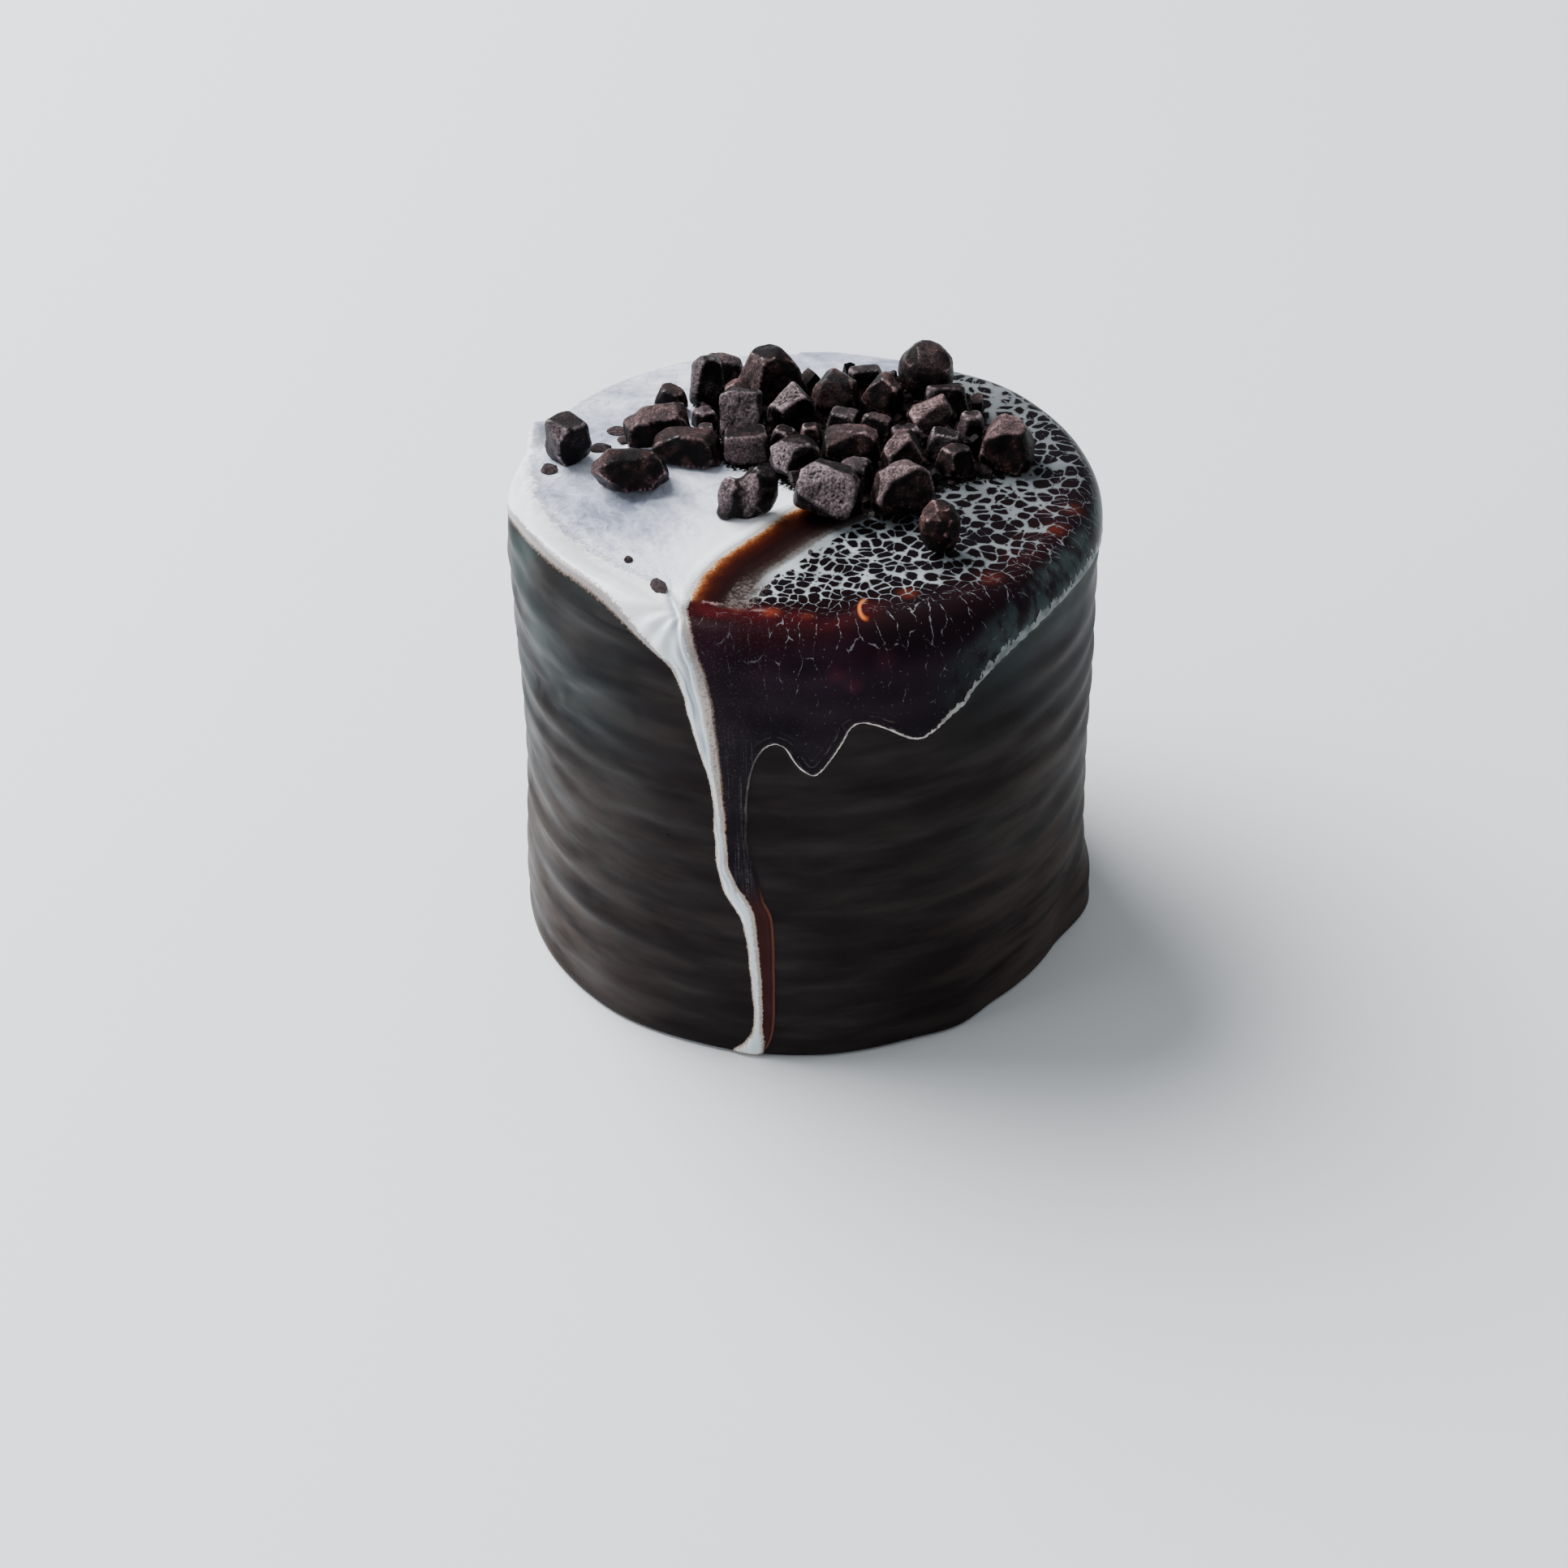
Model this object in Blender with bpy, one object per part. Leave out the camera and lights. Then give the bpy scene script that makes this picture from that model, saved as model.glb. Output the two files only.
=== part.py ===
"""Small round chocolate mousse cake, poured with glaze, with broken chocolate on its top.

Metres, +Z up. The origin is the middle of the flat underside, and the long white drip runs
down the front, which faces -Y. A bearing is an angle round the cake in degrees: 0 at the
front, rising towards +X.
"""
import bisect
import itertools
import math
import random

import bmesh
import bpy
from mathutils import Euler, Vector
from mathutils.bvhtree import BVHTree

MM = 0.001

# The body, turned out of a straight ring mould 70 mm across and 60 mm high
CAKE_RADIUS = 35.0 * MM
CAKE_HEIGHT = 60.0 * MM
FOOT_CHAMFER = 0.5 * MM

# How far the foot spreads past the body, as (bearing, spread in mm)
FOOT_SPREAD = ((-180, 0.5), (-120, 0.6), (-80, 1.4), (-45, 1.2), (-20, 0.4), (0, 0.2),
               (20, -0.3), (30, 0.8), (42, -0.9), (62, -0.7), (80, 1.5), (100, 0.4), (180, 0.5))
FOOT_HEIGHT = 15.0 * MM
FOOT_HEIGHT_SWING = 6.0 * MM
FOOT_HEIGHT_SIDE = -70.0

# How round the upper edge is, as (bearing, radius in mm)
RIM_ROUNDING = ((-180, 5.6), (-150, 3.4), (-60, 3.0), (-20, 3.8), (0, 4.4), (60, 4.2),
                (110, 4.6), (150, 5.8), (180, 5.6))

# The low ripples that the mould's lining leaves round the side
RIPPLE_PITCH = 4.8 * MM
RIPPLE_DEPTH_FRONT = 0.10 * MM
RIPPLE_DEPTH_SIDES = 0.24 * MM
RIPPLE_WAVER = 0.9 * MM

# The white glaze: a thick lip over the left rim, and a funnel that feeds one long drip
LIP_HEIGHT = 0.8 * MM
LIP_INSET = 1.6 * MM
LIP_WIDTH = 2.4 * MM
LIP_BEARINGS = (-150, -120, -45, -20)
DRIP_RELIEF = 0.5 * MM
DRIP_SOFTNESS = 1.6
DRIP_CENTRE = ((3, -11.0), (9, -10.4), (17, -11.3), (22, -12.6), (27, -15.4), (33, -16.6),
               (41, -17.8), (50, -19.6), (60, -21.5))
DRIP_HALF_WIDTH = ((0, 0.55), (3, 1.15), (17, 0.85), (34, 0.85), (46, 1.3), (53, 2.1), (60, 4.0))

# The lower edge of the dark glaze film on the right, as (bearing, height in mm)
FILM_EDGE = ((-11, 38), (-9, 44.3), (-6, 46.3), (-2, 44.4), (1.5, 42.6), (6.5, 47), (10, 48.9),
             (15, 47.5), (21, 45.5), (26, 47), (31, 48.7), (35, 51.5), (42, 53.9), (60, 55.3),
             (90, 54.5), (130, 53), (150, 55), (170, 62))
FILM_THICKNESS = 0.3 * MM
FILM_FADE = 1.2 * MM

# How finely the body is divided
PLAIN_STEP = 6.0
DRIP_STEP = 1.05
DRIP_SECTOR = (-27.0, -6.0)
SIDE_RINGS = 33
RIM_RINGS = 4
TOP_RINGS = 7

# Broken chocolate
CHUNK_GAP = 0.3 * MM
DROP_STEP = 0.1 * MM
DROP_FROM = 14.0 * MM
CORNER_GROWTH = 1.2
CORNER_CUT = 0.17
CORNER_WANDER = 0.10

# One line for each block: middle of its place on the top (x, y), its width, depth and
# height, its turn about Z and its tilts about X and Y, then how much narrower its top is
# in width and in depth. Millimetres and degrees, the lowest blocks first.
BLOCKS = (
    ("chunk_01", -27.8, 4.8, 4.2, 3.9, 5.0, 28, 8, -6, 0.86, 0.84),
    ("chunk_02", -20.2, -2.0, 9.0, 4.0, 3.8, 12, -14, 4, 0.72, 0.62),
    ("chunk_03", -17.4, 9.8, 7.2, 3.8, 2.9, 14, 6, -4, 0.92, 0.86),
    ("chunk_04", -16.0, 16.0, 3.4, 2.8, 2.7, -20, 0, 8, 0.80, 0.70),
    ("chunk_05", -13.7, 4.4, 7.2, 3.6, 3.2, -12, -8, 0, 0.84, 0.78),
    ("chunk_06", -11.6, 18.5, 3.8, 2.4, 5.0, 14, -16, 6, 0.80, 0.80),
    ("chunk_07", -9.8, 23.8, 5.2, 3.0, 2.5, -8, 0, 6, 0.84, 0.60),
    ("chunk_08", -3.7, 19.9, 7.4, 5.2, 5.6, 14, -4, -3, 0.66, 0.84),
    ("chunk_09", -7.7, 14.5, 3.2, 2.4, 4.2, -14, -10, 0, 0.84, 0.80),
    ("chunk_10", -6.7, 4.5, 4.9, 3.5, 3.0, 2, -6, 0, 0.96, 0.94),
    ("chunk_11", -7.3, 10.0, 4.5, 2.2, 5.2, -8, -20, 0, 0.96, 0.88),
    ("chunk_12", -1.2, 12.2, 4.8, 3.8, 3.5, 36, 10, -12, 0.88, 0.84),
    ("chunk_13", -0.9, 1.2, 5.0, 3.5, 3.1, 24, -8, 6, 0.88, 0.86),
    ("chunk_14", 4.5, 16.8, 5.3, 3.8, 3.7, -16, -8, 6, 0.74, 0.76),
    ("chunk_15", 7.9, 22.6, 4.2, 2.4, 1.8, 10, 0, 0, 0.84, 0.70),
    ("chunk_16", 5.8, 4.4, 6.6, 3.7, 2.8, -8, -10, -4, 0.88, 0.74),
    ("chunk_17", 3.0, -8.8, 7.4, 5.2, 5.0, -14, -16, 6, 0.84, 0.78),
    ("chunk_18", 10.2, 15.2, 4.3, 2.9, 3.8, -34, -10, 12, 0.70, 0.72),
    ("chunk_19", 17.5, 13.8, 4.9, 2.8, 3.6, 6, -8, 0, 0.82, 0.70),
    ("chunk_20", 15.5, 9.8, 5.5, 2.8, 3.0, 24, -24, -14, 0.90, 0.86),
    ("chunk_21", 9.0, 9.0, 3.6, 2.4, 2.1, -24, -10, 10, 0.76, 0.76),
    ("chunk_22", 11.8, 0.4, 4.5, 3.5, 3.9, 20, -14, -8, 0.80, 0.78),
    ("chunk_23", 11.4, -8.2, 6.4, 4.7, 5.1, 12, -14, 4, 0.78, 0.74),
    ("chunk_24", 16.8, 4.6, 3.7, 2.8, 2.4, -12, -8, 8, 0.80, 0.76),
    ("chunk_25", 20.1, 7.2, 2.4, 2.4, 3.7, 18, 0, 6, 0.78, 0.78),
    ("chunk_26", 24.2, 2.2, 5.6, 4.8, 4.6, -12, -8, 8, 0.76, 0.78),
    ("chunk_27", 17.9, 0.0, 3.4, 2.8, 2.8, 30, -6, 6, 0.82, 0.80),
    ("chunk_28", 5.1, 11.8, 3.4, 2.6, 1.7, -18, 0, 0, 0.82, 0.80),
    ("chunk_29", -11.8, 12.2, 2.4, 2.2, 2.2, 22, 0, 0, 0.80, 0.80),
    ("chunk_30", -2.2, 6.5, 2.6, 2.2, 2.3, -16, 0, 6, 0.80, 0.80),
    ("chunk_31", 0.9, 7.6, 1.9, 1.9, 2.2, 4, -4, 0, 0.82, 0.78),
    ("chunk_32", 12.3, 5.2, 3.2, 2.8, 2.8, 14, -6, -6, 0.78, 0.80),
    ("chunk_33", 6.2, -2.0, 3.2, 3.0, 2.6, -30, 6, 0, 0.80, 0.76),
    ("chunk_34", -11.6, 8.7, 1.9, 1.7, 1.8, 10, 0, 0, 0.80, 0.80),
)

# Rounded pieces: place, half sizes, turn, depth of the pinch round the middle, fineness
ROUND_PIECES = (
    ("pearl", 15.3, 18.9, 3.5, 3.5, 3.5, 0, 0.0, 3),
    ("nugget", 15.3, -17.2, 2.4, 2.25, 3.2, 10, 0.0, 2),
    ("twin_nugget", -6.2, -8.2, 3.4, 1.95, 3.0, 8, 0.45, 3),
)
ROUND_UNEVENNESS = 0.05

# Colours as linear red, green and blue
GLAZE_COLOR = (0.020, 0.012, 0.012, 1.0)
CHOCOLATE_COLOR = (0.055, 0.034, 0.033, 1.0)


def clear_scene():
    for old in list(bpy.data.objects):
        bpy.data.objects.remove(old, do_unlink=True)


def make_material(name, color, roughness):
    material = bpy.data.materials.new(name)
    material.use_nodes = True
    shader = material.node_tree.nodes["Principled BSDF"]
    shader.inputs["Base Color"].default_value = color
    shader.inputs["Roughness"].default_value = roughness
    shader.inputs["Metallic"].default_value = 0.0
    return material


def ease(value):
    """A smooth step from 0 to 1."""
    value = min(1.0, max(0.0, value))
    return value * value * (3.0 - 2.0 * value)


def along(points, place):
    """The value at a place between named points, eased from each point to the next."""
    places = [point[0] for point in points]
    index = bisect.bisect_right(places, place) - 1
    if index < 0:
        return points[0][1]
    if index >= len(points) - 1:
        return points[-1][1]
    start, end = points[index], points[index + 1]
    share = ease((place - start[0]) / (end[0] - start[0]))
    return start[1] + (end[1] - start[1]) * share


def bump(distance, half_width):
    """A round hump: 1 on its middle line, 0 from half_width outwards."""
    share = min(1.0, abs(distance) / half_width)
    return math.cos(share * math.pi / 2) ** 2


def rim_radius(bearing):
    return along(RIM_ROUNDING, bearing) * MM


def body_radius(bearing, height):
    """The plain side with its spread foot and its ripples, before any glaze."""
    turn = math.radians(bearing)
    side = math.radians(bearing - FOOT_HEIGHT_SIDE)
    foot_height = FOOT_HEIGHT + FOOT_HEIGHT_SWING * math.cos(side)
    spread = along(FOOT_SPREAD, bearing) * MM * ease(1.25 - height / foot_height)
    depth = RIPPLE_DEPTH_FRONT + (RIPPLE_DEPTH_SIDES - RIPPLE_DEPTH_FRONT) * math.sin(turn / 2) ** 2
    depth *= 1.0 + 0.5 * math.sin(3 * turn + height / FOOT_HEIGHT * 4)
    waver = RIPPLE_WAVER * math.sin(2 * turn + 0.7) + 0.5 * RIPPLE_WAVER * math.sin(5 * turn)
    ripple = depth * math.cos((height + waver) / RIPPLE_PITCH * 2 * math.pi)
    return CAKE_RADIUS + spread + ripple


def drip_relief(bearing, height):
    level = height / MM
    distance = math.radians(bearing - along(DRIP_CENTRE, level)) * CAKE_RADIUS
    half_width = along(DRIP_HALF_WIDTH, level) * MM
    return DRIP_RELIEF * bump(distance, DRIP_SOFTNESS * half_width)


def film_relief(bearing, height):
    if bearing < FILM_EDGE[0][0]:
        return 0.0
    edge = along(FILM_EDGE, bearing) * MM
    return FILM_THICKNESS * ease((height - edge) / FILM_FADE)


def lip_relief(bearing, radius):
    start, full, fading, end = LIP_BEARINGS
    share = ease((bearing - start) / (full - start)) * ease((end - bearing) / (end - fading))
    return LIP_HEIGHT * share * bump(radius - (CAKE_RADIUS - LIP_INSET), LIP_WIDTH)


def skin_point(bearing, radius, height):
    turn = math.radians(bearing)
    return Vector((radius * math.sin(turn), -radius * math.cos(turn), height))


def meridian(bearing):
    """The skin's points at one bearing, from the foot up to the middle of the top."""
    rounding = rim_radius(bearing)
    shoulder = CAKE_HEIGHT - rounding
    foot_radius = body_radius(bearing, FOOT_CHAMFER)
    points = [skin_point(bearing, foot_radius - FOOT_CHAMFER, 0.0)]
    for ring in range(SIDE_RINGS):
        height = FOOT_CHAMFER + (shoulder - FOOT_CHAMFER) * ring / (SIDE_RINGS - 1)
        radius = body_radius(bearing, height)
        radius += drip_relief(bearing, height) + film_relief(bearing, height)
        points.append(skin_point(bearing, radius, height))
    shoulder_radius = points[-1].xy.length
    for ring in range(1, RIM_RINGS + 1):
        lift = math.pi / 2 * ring / RIM_RINGS
        radius = shoulder_radius - rounding * (1.0 - math.cos(lift))
        height = shoulder + rounding * math.sin(lift)
        points.append(skin_point(bearing, radius, height + lip_relief(bearing, radius)))
    flat_radius = points[-1].xy.length
    for ring in range(1, TOP_RINGS):
        radius = flat_radius * (1.0 - ring / TOP_RINGS)
        height = CAKE_HEIGHT + lip_relief(bearing, radius)
        points.append(skin_point(bearing, radius, height))
    return points


def bearings_round():
    """Bearings once round the cake, closer together across the drip."""
    start, end = DRIP_SECTOR
    fine = round((end - start) / DRIP_STEP)
    plain = round((360.0 - (end - start)) / PLAIN_STEP)
    turns = [start + (end - start) * index / fine for index in range(fine)]
    turns += [end + (360.0 - (end - start)) * index / plain for index in range(plain)]
    return [turn - 360.0 if turn > 180.0 else turn for turn in turns]


def make_cake(material):
    shape = bmesh.new()
    columns = []
    for bearing in bearings_round():
        columns.append([shape.verts.new(point) for point in meridian(bearing)])
    middle = shape.verts.new((0.0, 0.0, CAKE_HEIGHT))
    for index, column in enumerate(columns):
        following = columns[(index + 1) % len(columns)]
        for ring in range(len(column) - 1):
            shape.faces.new((column[ring], following[ring], following[ring + 1], column[ring + 1]))
        shape.faces.new((column[-1], following[-1], middle))
    shape.faces.new([column[0] for column in reversed(columns)])
    bmesh.ops.triangulate(shape, faces=shape.faces[:])
    mesh = bpy.data.meshes.new("cake")
    shape.to_mesh(mesh)
    shape.free()
    mesh.shade_smooth()
    mesh.set_sharp_from_angle(angle=math.radians(40))
    mesh.materials.append(material)
    cake = bpy.data.objects.new("cake", mesh)
    bpy.context.scene.collection.objects.link(cake)
    return cake


def block_mesh(name, size, top_width, top_depth):
    """A block of broken chocolate: eight uneven corners, each cut off, as a convex hull."""
    dice = random.Random(name)
    shape = bmesh.new()
    for signs in itertools.product((-1, 1), repeat=3):
        narrowing = (top_width, top_depth, 1.0) if signs[2] > 0 else (1.0, 1.0, 1.0)
        corner = Vector()
        for axis in range(3):
            wander = 1.0 + dice.uniform(-CORNER_WANDER, CORNER_WANDER)
            corner[axis] = signs[axis] * size[axis] / 2 * narrowing[axis] * wander
        for axis in range(3):
            point = corner.copy()
            point[axis] -= signs[axis] * size[axis] * CORNER_CUT * dice.uniform(0.5, 1.5)
            shape.verts.new(point)
    hull = bmesh.ops.convex_hull(shape, input=shape.verts[:])
    bmesh.ops.delete(shape, geom=hull["geom_interior"], context="VERTS")
    bmesh.ops.triangulate(shape, faces=shape.faces[:])
    bmesh.ops.recalc_face_normals(shape, faces=shape.faces[:])
    mesh = bpy.data.meshes.new(name)
    shape.to_mesh(mesh)
    shape.free()
    return mesh


def round_mesh(name, half_sizes, pinch, fineness):
    """A rounded lump, drawn in round its middle where it is two nuggets grown together."""
    dice = random.Random(name)
    waves = [Vector([dice.uniform(-2.5, 2.5) for _ in range(3)]) for _ in range(4)]
    shape = bmesh.new()
    bmesh.ops.create_icosphere(shape, subdivisions=fineness, radius=1.0)
    for vert in shape.verts:
        ray = vert.co.normalized()
        swell = 1.0 + ROUND_UNEVENNESS * sum(math.sin(2 * wave.dot(ray)) for wave in waves) / 2
        waist = 1.0 - pinch * bump(ray.x + 0.25, 0.55)
        lobe = 1.0 - 0.35 * pinch * ease(-2.0 * ray.x)
        vert.co = Vector((ray.x, ray.y * waist * lobe, ray.z * waist * lobe)) * swell
        vert.co = Vector([vert.co[axis] * half_sizes[axis] for axis in range(3)])
    mesh = bpy.data.meshes.new(name)
    shape.to_mesh(mesh)
    shape.free()
    mesh.shade_smooth()
    return mesh


def solid_tree(mesh):
    corners = [vert.co for vert in mesh.vertices]
    return BVHTree.FromPolygons(corners, [tuple(face.vertices) for face in mesh.polygons])


def settle(mesh, x, y, supports):
    """Lower a piece over its place until it lies a gap above the cake or an earlier piece."""
    start = Vector((x, y, CAKE_HEIGHT + DROP_FROM))
    grown = [vert.co + vert.normal * CHUNK_GAP * CORNER_GROWTH + start for vert in mesh.vertices]
    faces = [tuple(face.vertices) for face in mesh.polygons]
    drop = 0.0
    touching = False
    while not touching:
        drop += DROP_STEP
        corners = [corner - Vector((0.0, 0.0, drop)) for corner in grown]
        tree = BVHTree.FromPolygons(corners, faces)
        touching = any(tree.overlap(support) for support in supports)
    return start.z - drop + DROP_STEP


def place_piece(name, mesh, x, y, material, supports):
    height = settle(mesh, x, y, supports)
    for vert in mesh.vertices:
        vert.co += Vector((x, y, height))
    mesh.materials.append(material)
    piece = bpy.data.objects.new(name, mesh)
    bpy.context.scene.collection.objects.link(piece)
    supports.append(solid_tree(mesh))
    return piece


def turned(mesh, tilt_x, tilt_y, turn):
    angles = [math.radians(angle) for angle in (tilt_x, tilt_y, turn)]
    mesh.transform(Euler(angles, "XYZ").to_matrix().to_4x4())
    return mesh


def make_chunks(material, cake):
    supports = [solid_tree(cake.data)]
    for name, x, y, width, depth, height, turn, tilt_x, tilt_y, narrow_x, narrow_y in BLOCKS:
        size = (width * MM, depth * MM, height * MM)
        mesh = turned(block_mesh(name, size, narrow_x, narrow_y), tilt_x, tilt_y, turn)
        place_piece(name, mesh, x * MM, y * MM, material, supports)
    for name, x, y, half_x, half_y, half_z, turn, pinch, fineness in ROUND_PIECES:
        half_sizes = (half_x * MM, half_y * MM, half_z * MM)
        mesh = turned(round_mesh(name, half_sizes, pinch, fineness), 0.0, 0.0, turn)
        place_piece(name, mesh, x * MM, y * MM, material, supports)


clear_scene()
glaze = make_material("chocolate_glaze", GLAZE_COLOR, 0.35)
chocolate = make_material("broken_chocolate", CHOCOLATE_COLOR, 0.6)
make_chunks(chocolate, make_cake(glaze))
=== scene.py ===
import math
import random

import bpy
import numpy as np
from mathutils import Matrix, Vector, noise
from mathutils.bvhtree import BVHTree


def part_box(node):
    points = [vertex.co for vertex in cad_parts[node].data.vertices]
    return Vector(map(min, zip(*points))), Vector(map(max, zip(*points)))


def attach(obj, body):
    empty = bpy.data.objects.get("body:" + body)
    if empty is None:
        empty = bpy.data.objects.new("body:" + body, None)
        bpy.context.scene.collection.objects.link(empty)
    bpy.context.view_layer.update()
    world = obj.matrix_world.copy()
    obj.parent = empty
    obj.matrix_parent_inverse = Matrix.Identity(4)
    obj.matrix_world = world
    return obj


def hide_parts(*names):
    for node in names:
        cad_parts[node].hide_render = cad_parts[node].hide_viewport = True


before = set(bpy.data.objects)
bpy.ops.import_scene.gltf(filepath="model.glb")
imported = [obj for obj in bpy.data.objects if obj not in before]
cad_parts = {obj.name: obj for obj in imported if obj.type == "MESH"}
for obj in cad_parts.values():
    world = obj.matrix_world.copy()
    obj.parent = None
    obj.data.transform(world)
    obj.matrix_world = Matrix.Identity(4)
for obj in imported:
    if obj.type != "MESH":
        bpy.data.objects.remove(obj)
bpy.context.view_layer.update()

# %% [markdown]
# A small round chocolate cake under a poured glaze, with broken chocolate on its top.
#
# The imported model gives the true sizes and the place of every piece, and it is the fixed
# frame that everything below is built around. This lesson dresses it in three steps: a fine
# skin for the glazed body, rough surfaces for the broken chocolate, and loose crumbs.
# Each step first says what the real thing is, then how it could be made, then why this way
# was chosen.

MM = 0.001
CAKE_NODE = "cake"
TOPPING_NODES = sorted(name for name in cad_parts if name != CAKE_NODE)
cake_low, cake_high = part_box(CAKE_NODE)
print("pieces on the cake:", len(TOPPING_NODES))
print("cake height in mm:", round((cake_high[2] - cake_low[2]) / MM, 1))

# %% [markdown]
# The camera. The picture was taken from the front and from above, at arm's length, so the
# cake's side narrows only a little towards its foot. A camera can be aimed by an object that
# it tracks, or by its own angles. Angles were chosen, because the real camera was also turned
# by a degree about its view, and a tracked camera always stays level.

# %% Camera
VIEW_DISTANCE = 348.6 * MM
VIEW_ELEVATION = math.radians(38.97)
VIEW_PITCH = math.radians(37.01)
VIEW_YAW = math.radians(-0.65)
VIEW_ROLL = math.radians(-1.33)
VIEW_LENS = 60.9

camera_data = bpy.data.cameras.new("camera")
camera_data.lens = VIEW_LENS
camera_data.clip_start = 0.01
camera = bpy.data.objects.new("camera", camera_data)
bpy.context.scene.collection.objects.link(camera)
camera_place = Vector((0.0, -math.cos(VIEW_ELEVATION), math.sin(VIEW_ELEVATION))) * VIEW_DISTANCE
camera_turn = (
    Matrix.Rotation(-VIEW_YAW, 4, "Z")
    @ Matrix.Rotation(math.pi / 2 - VIEW_PITCH, 4, "X")
    @ Matrix.Rotation(VIEW_ROLL, 4, "Z")
)
camera.matrix_world = Matrix.Translation(camera_place) @ camera_turn
bpy.context.scene.camera = camera
print("camera height in mm:", round(camera_place.z / MM))

# %% [markdown]
# Light and floor. The real light is a large soft window above, to the left and a little
# behind: the glaze has broad soft shines, and the right and front faces of the chocolate stay
# nearly black. One big area lamp stands for the window, a weaker one lifts the left side, and
# a grey world fills the rest. Many small lamps would give many hard shines, which a glaze
# shows at once.

# %% Lamps and world
LAMPS = (
    ("window", (-0.72, 0.52, 1.00), 1.25, 54.0, (0.985, 0.99, 1.0)),
    ("left_panel", (-0.95, -0.35, 0.40), 0.60, 3.5, (0.92, 0.97, 1.0)),
    ("right_panel", (0.85, 0.30, 0.35), 0.50, 1.2, (0.92, 0.97, 1.0)),
)
WORLD_COLOR = (0.85, 0.89, 0.94, 1.0)
WORLD_STRENGTH = 0.43
LAMP_TARGET = Vector((0.0, 0.0, 30.0 * MM))

for name, place, size, power, color in LAMPS:
    lamp = bpy.data.lights.new(name, "AREA")
    lamp.shape = "DISK"
    lamp.size = size
    lamp.energy = power
    lamp.color = color
    lamp_object = bpy.data.objects.new(name, lamp)
    lamp_object.location = place
    lamp_object.rotation_euler = (LAMP_TARGET - Vector(place)).to_track_quat("-Z", "Y").to_euler()
    bpy.context.scene.collection.objects.link(lamp_object)

world = bpy.data.worlds.new("studio")
world.use_nodes = True
world.node_tree.nodes["Background"].inputs["Color"].default_value = WORLD_COLOR
world.node_tree.nodes["Background"].inputs["Strength"].default_value = WORLD_STRENGTH
bpy.context.scene.world = world
print("lamps:", [lamp[0] for lamp in LAMPS])

# %% Floor
FLOOR_SIZE = 6.0
FLOOR_COLOR = (0.76, 0.785, 0.80, 1.0)
FLOOR_ROUGHNESS = 0.6


def deselect_all():
    """Leave nothing selected, so that the next operator works on its own piece alone."""
    if bpy.context.object and bpy.context.object.mode != "OBJECT":
        bpy.ops.object.mode_set(mode="OBJECT")
    bpy.ops.object.select_all(action="DESELECT")


deselect_all()
bpy.ops.mesh.primitive_plane_add(size=FLOOR_SIZE, location=(0.0, 0.0, 0.0))
floor = bpy.context.object
floor.name = "floor"
floor_material = bpy.data.materials.new("pale_floor")
floor_material.use_nodes = True
floor_shader = floor_material.node_tree.nodes["Principled BSDF"]
floor_shader.inputs["Base Color"].default_value = FLOOR_COLOR
floor_shader.inputs["Roughness"].default_value = FLOOR_ROUGHNESS
floor.data.materials.append(floor_material)
print("floor size in m:", FLOOR_SIZE)

# %% [markdown]
# Shared helpers. A glaze edge wanders, so the shapes below are drawn from a few points each,
# and small functions fill in between them: one eases a value from point to point, another
# draws a round hump. They work on whole arrays at once, because the skin has about a hundred
# thousand vertices.


# %% Values eased between points
def ease(value):
    """A smooth step from 0 to 1."""
    value = np.clip(value, 0.0, 1.0)
    return value * value * (3.0 - 2.0 * value)


def rise(value, start, end):
    """0 at start and 1 at end, eased in between; start may be above end."""
    return ease((value - start) / (end - start))


def along(points, places):
    """Values at places between named points, eased from each point to the next."""
    keys = np.array([point[0] for point in points], dtype=float)
    values = np.array([point[1] for point in points], dtype=float)
    index = np.clip(np.searchsorted(keys, places, side="right") - 1, 0, len(keys) - 2)
    share = ease((places - keys[index]) / (keys[index + 1] - keys[index]))
    return values[index] + (values[index + 1] - values[index]) * share


def bump(distance, half_width):
    """A round hump: 1 on its middle line, 0 from half_width outwards."""
    share = np.minimum(1.0, np.abs(distance) / half_width)
    return np.cos(share * math.pi / 2) ** 2


def noise_at(points, scale, stretch=(1.0, 1.0, 1.0)):
    """Blender's own noise at points in mm, about -1 to 1."""
    scaled = points * scale * np.array(stretch)
    return np.array([noise.noise(Vector(point)) for point in scaled])


def read_points(mesh):
    flat = np.empty(3 * len(mesh.vertices))
    mesh.vertices.foreach_get("co", flat)
    return flat.reshape(-1, 3)


def write_points(mesh, points):
    mesh.vertices.foreach_set("co", np.ascontiguousarray(points, dtype=np.float32).ravel())
    mesh.update()


def store(mesh, name, values):
    """Keep a number on each vertex, for a material to read."""
    attribute = mesh.attributes.new(name, "FLOAT", "POINT")
    attribute.data.foreach_set("value", np.ascontiguousarray(values, dtype=np.float32))


def store_vector(mesh, name, values):
    """Keep a pair of numbers on each vertex, as a vector whose third number is 0."""
    attribute = mesh.attributes.new(name, "FLOAT_VECTOR", "POINT")
    padded = np.concatenate((values, np.zeros((len(values), 1))), axis=1)
    attribute.data.foreach_set("vector", np.ascontiguousarray(padded, dtype=np.float32).ravel())


print("half way from 2 to 6:", along(((0, 2.0), (1, 6.0)), np.array([0.5]))[0])

# %% [markdown]
# The body of the cake. A ring mould gives a straight side, and its lining leaves low ripples.
# The foot spreads a little where the soft cake has settled, and the upper edge is round.
#
# It could be a cylinder with many cuts, or a profile that is spun. It is made as a flat grid
# that is rolled up instead: a column of the grid is one bearing, a row is one station on the
# way from the middle of the top, over the rim and down to the foot. The columns can then
# stand closer together at the front, where the thin drip runs, which an even spin can't do.

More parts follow.
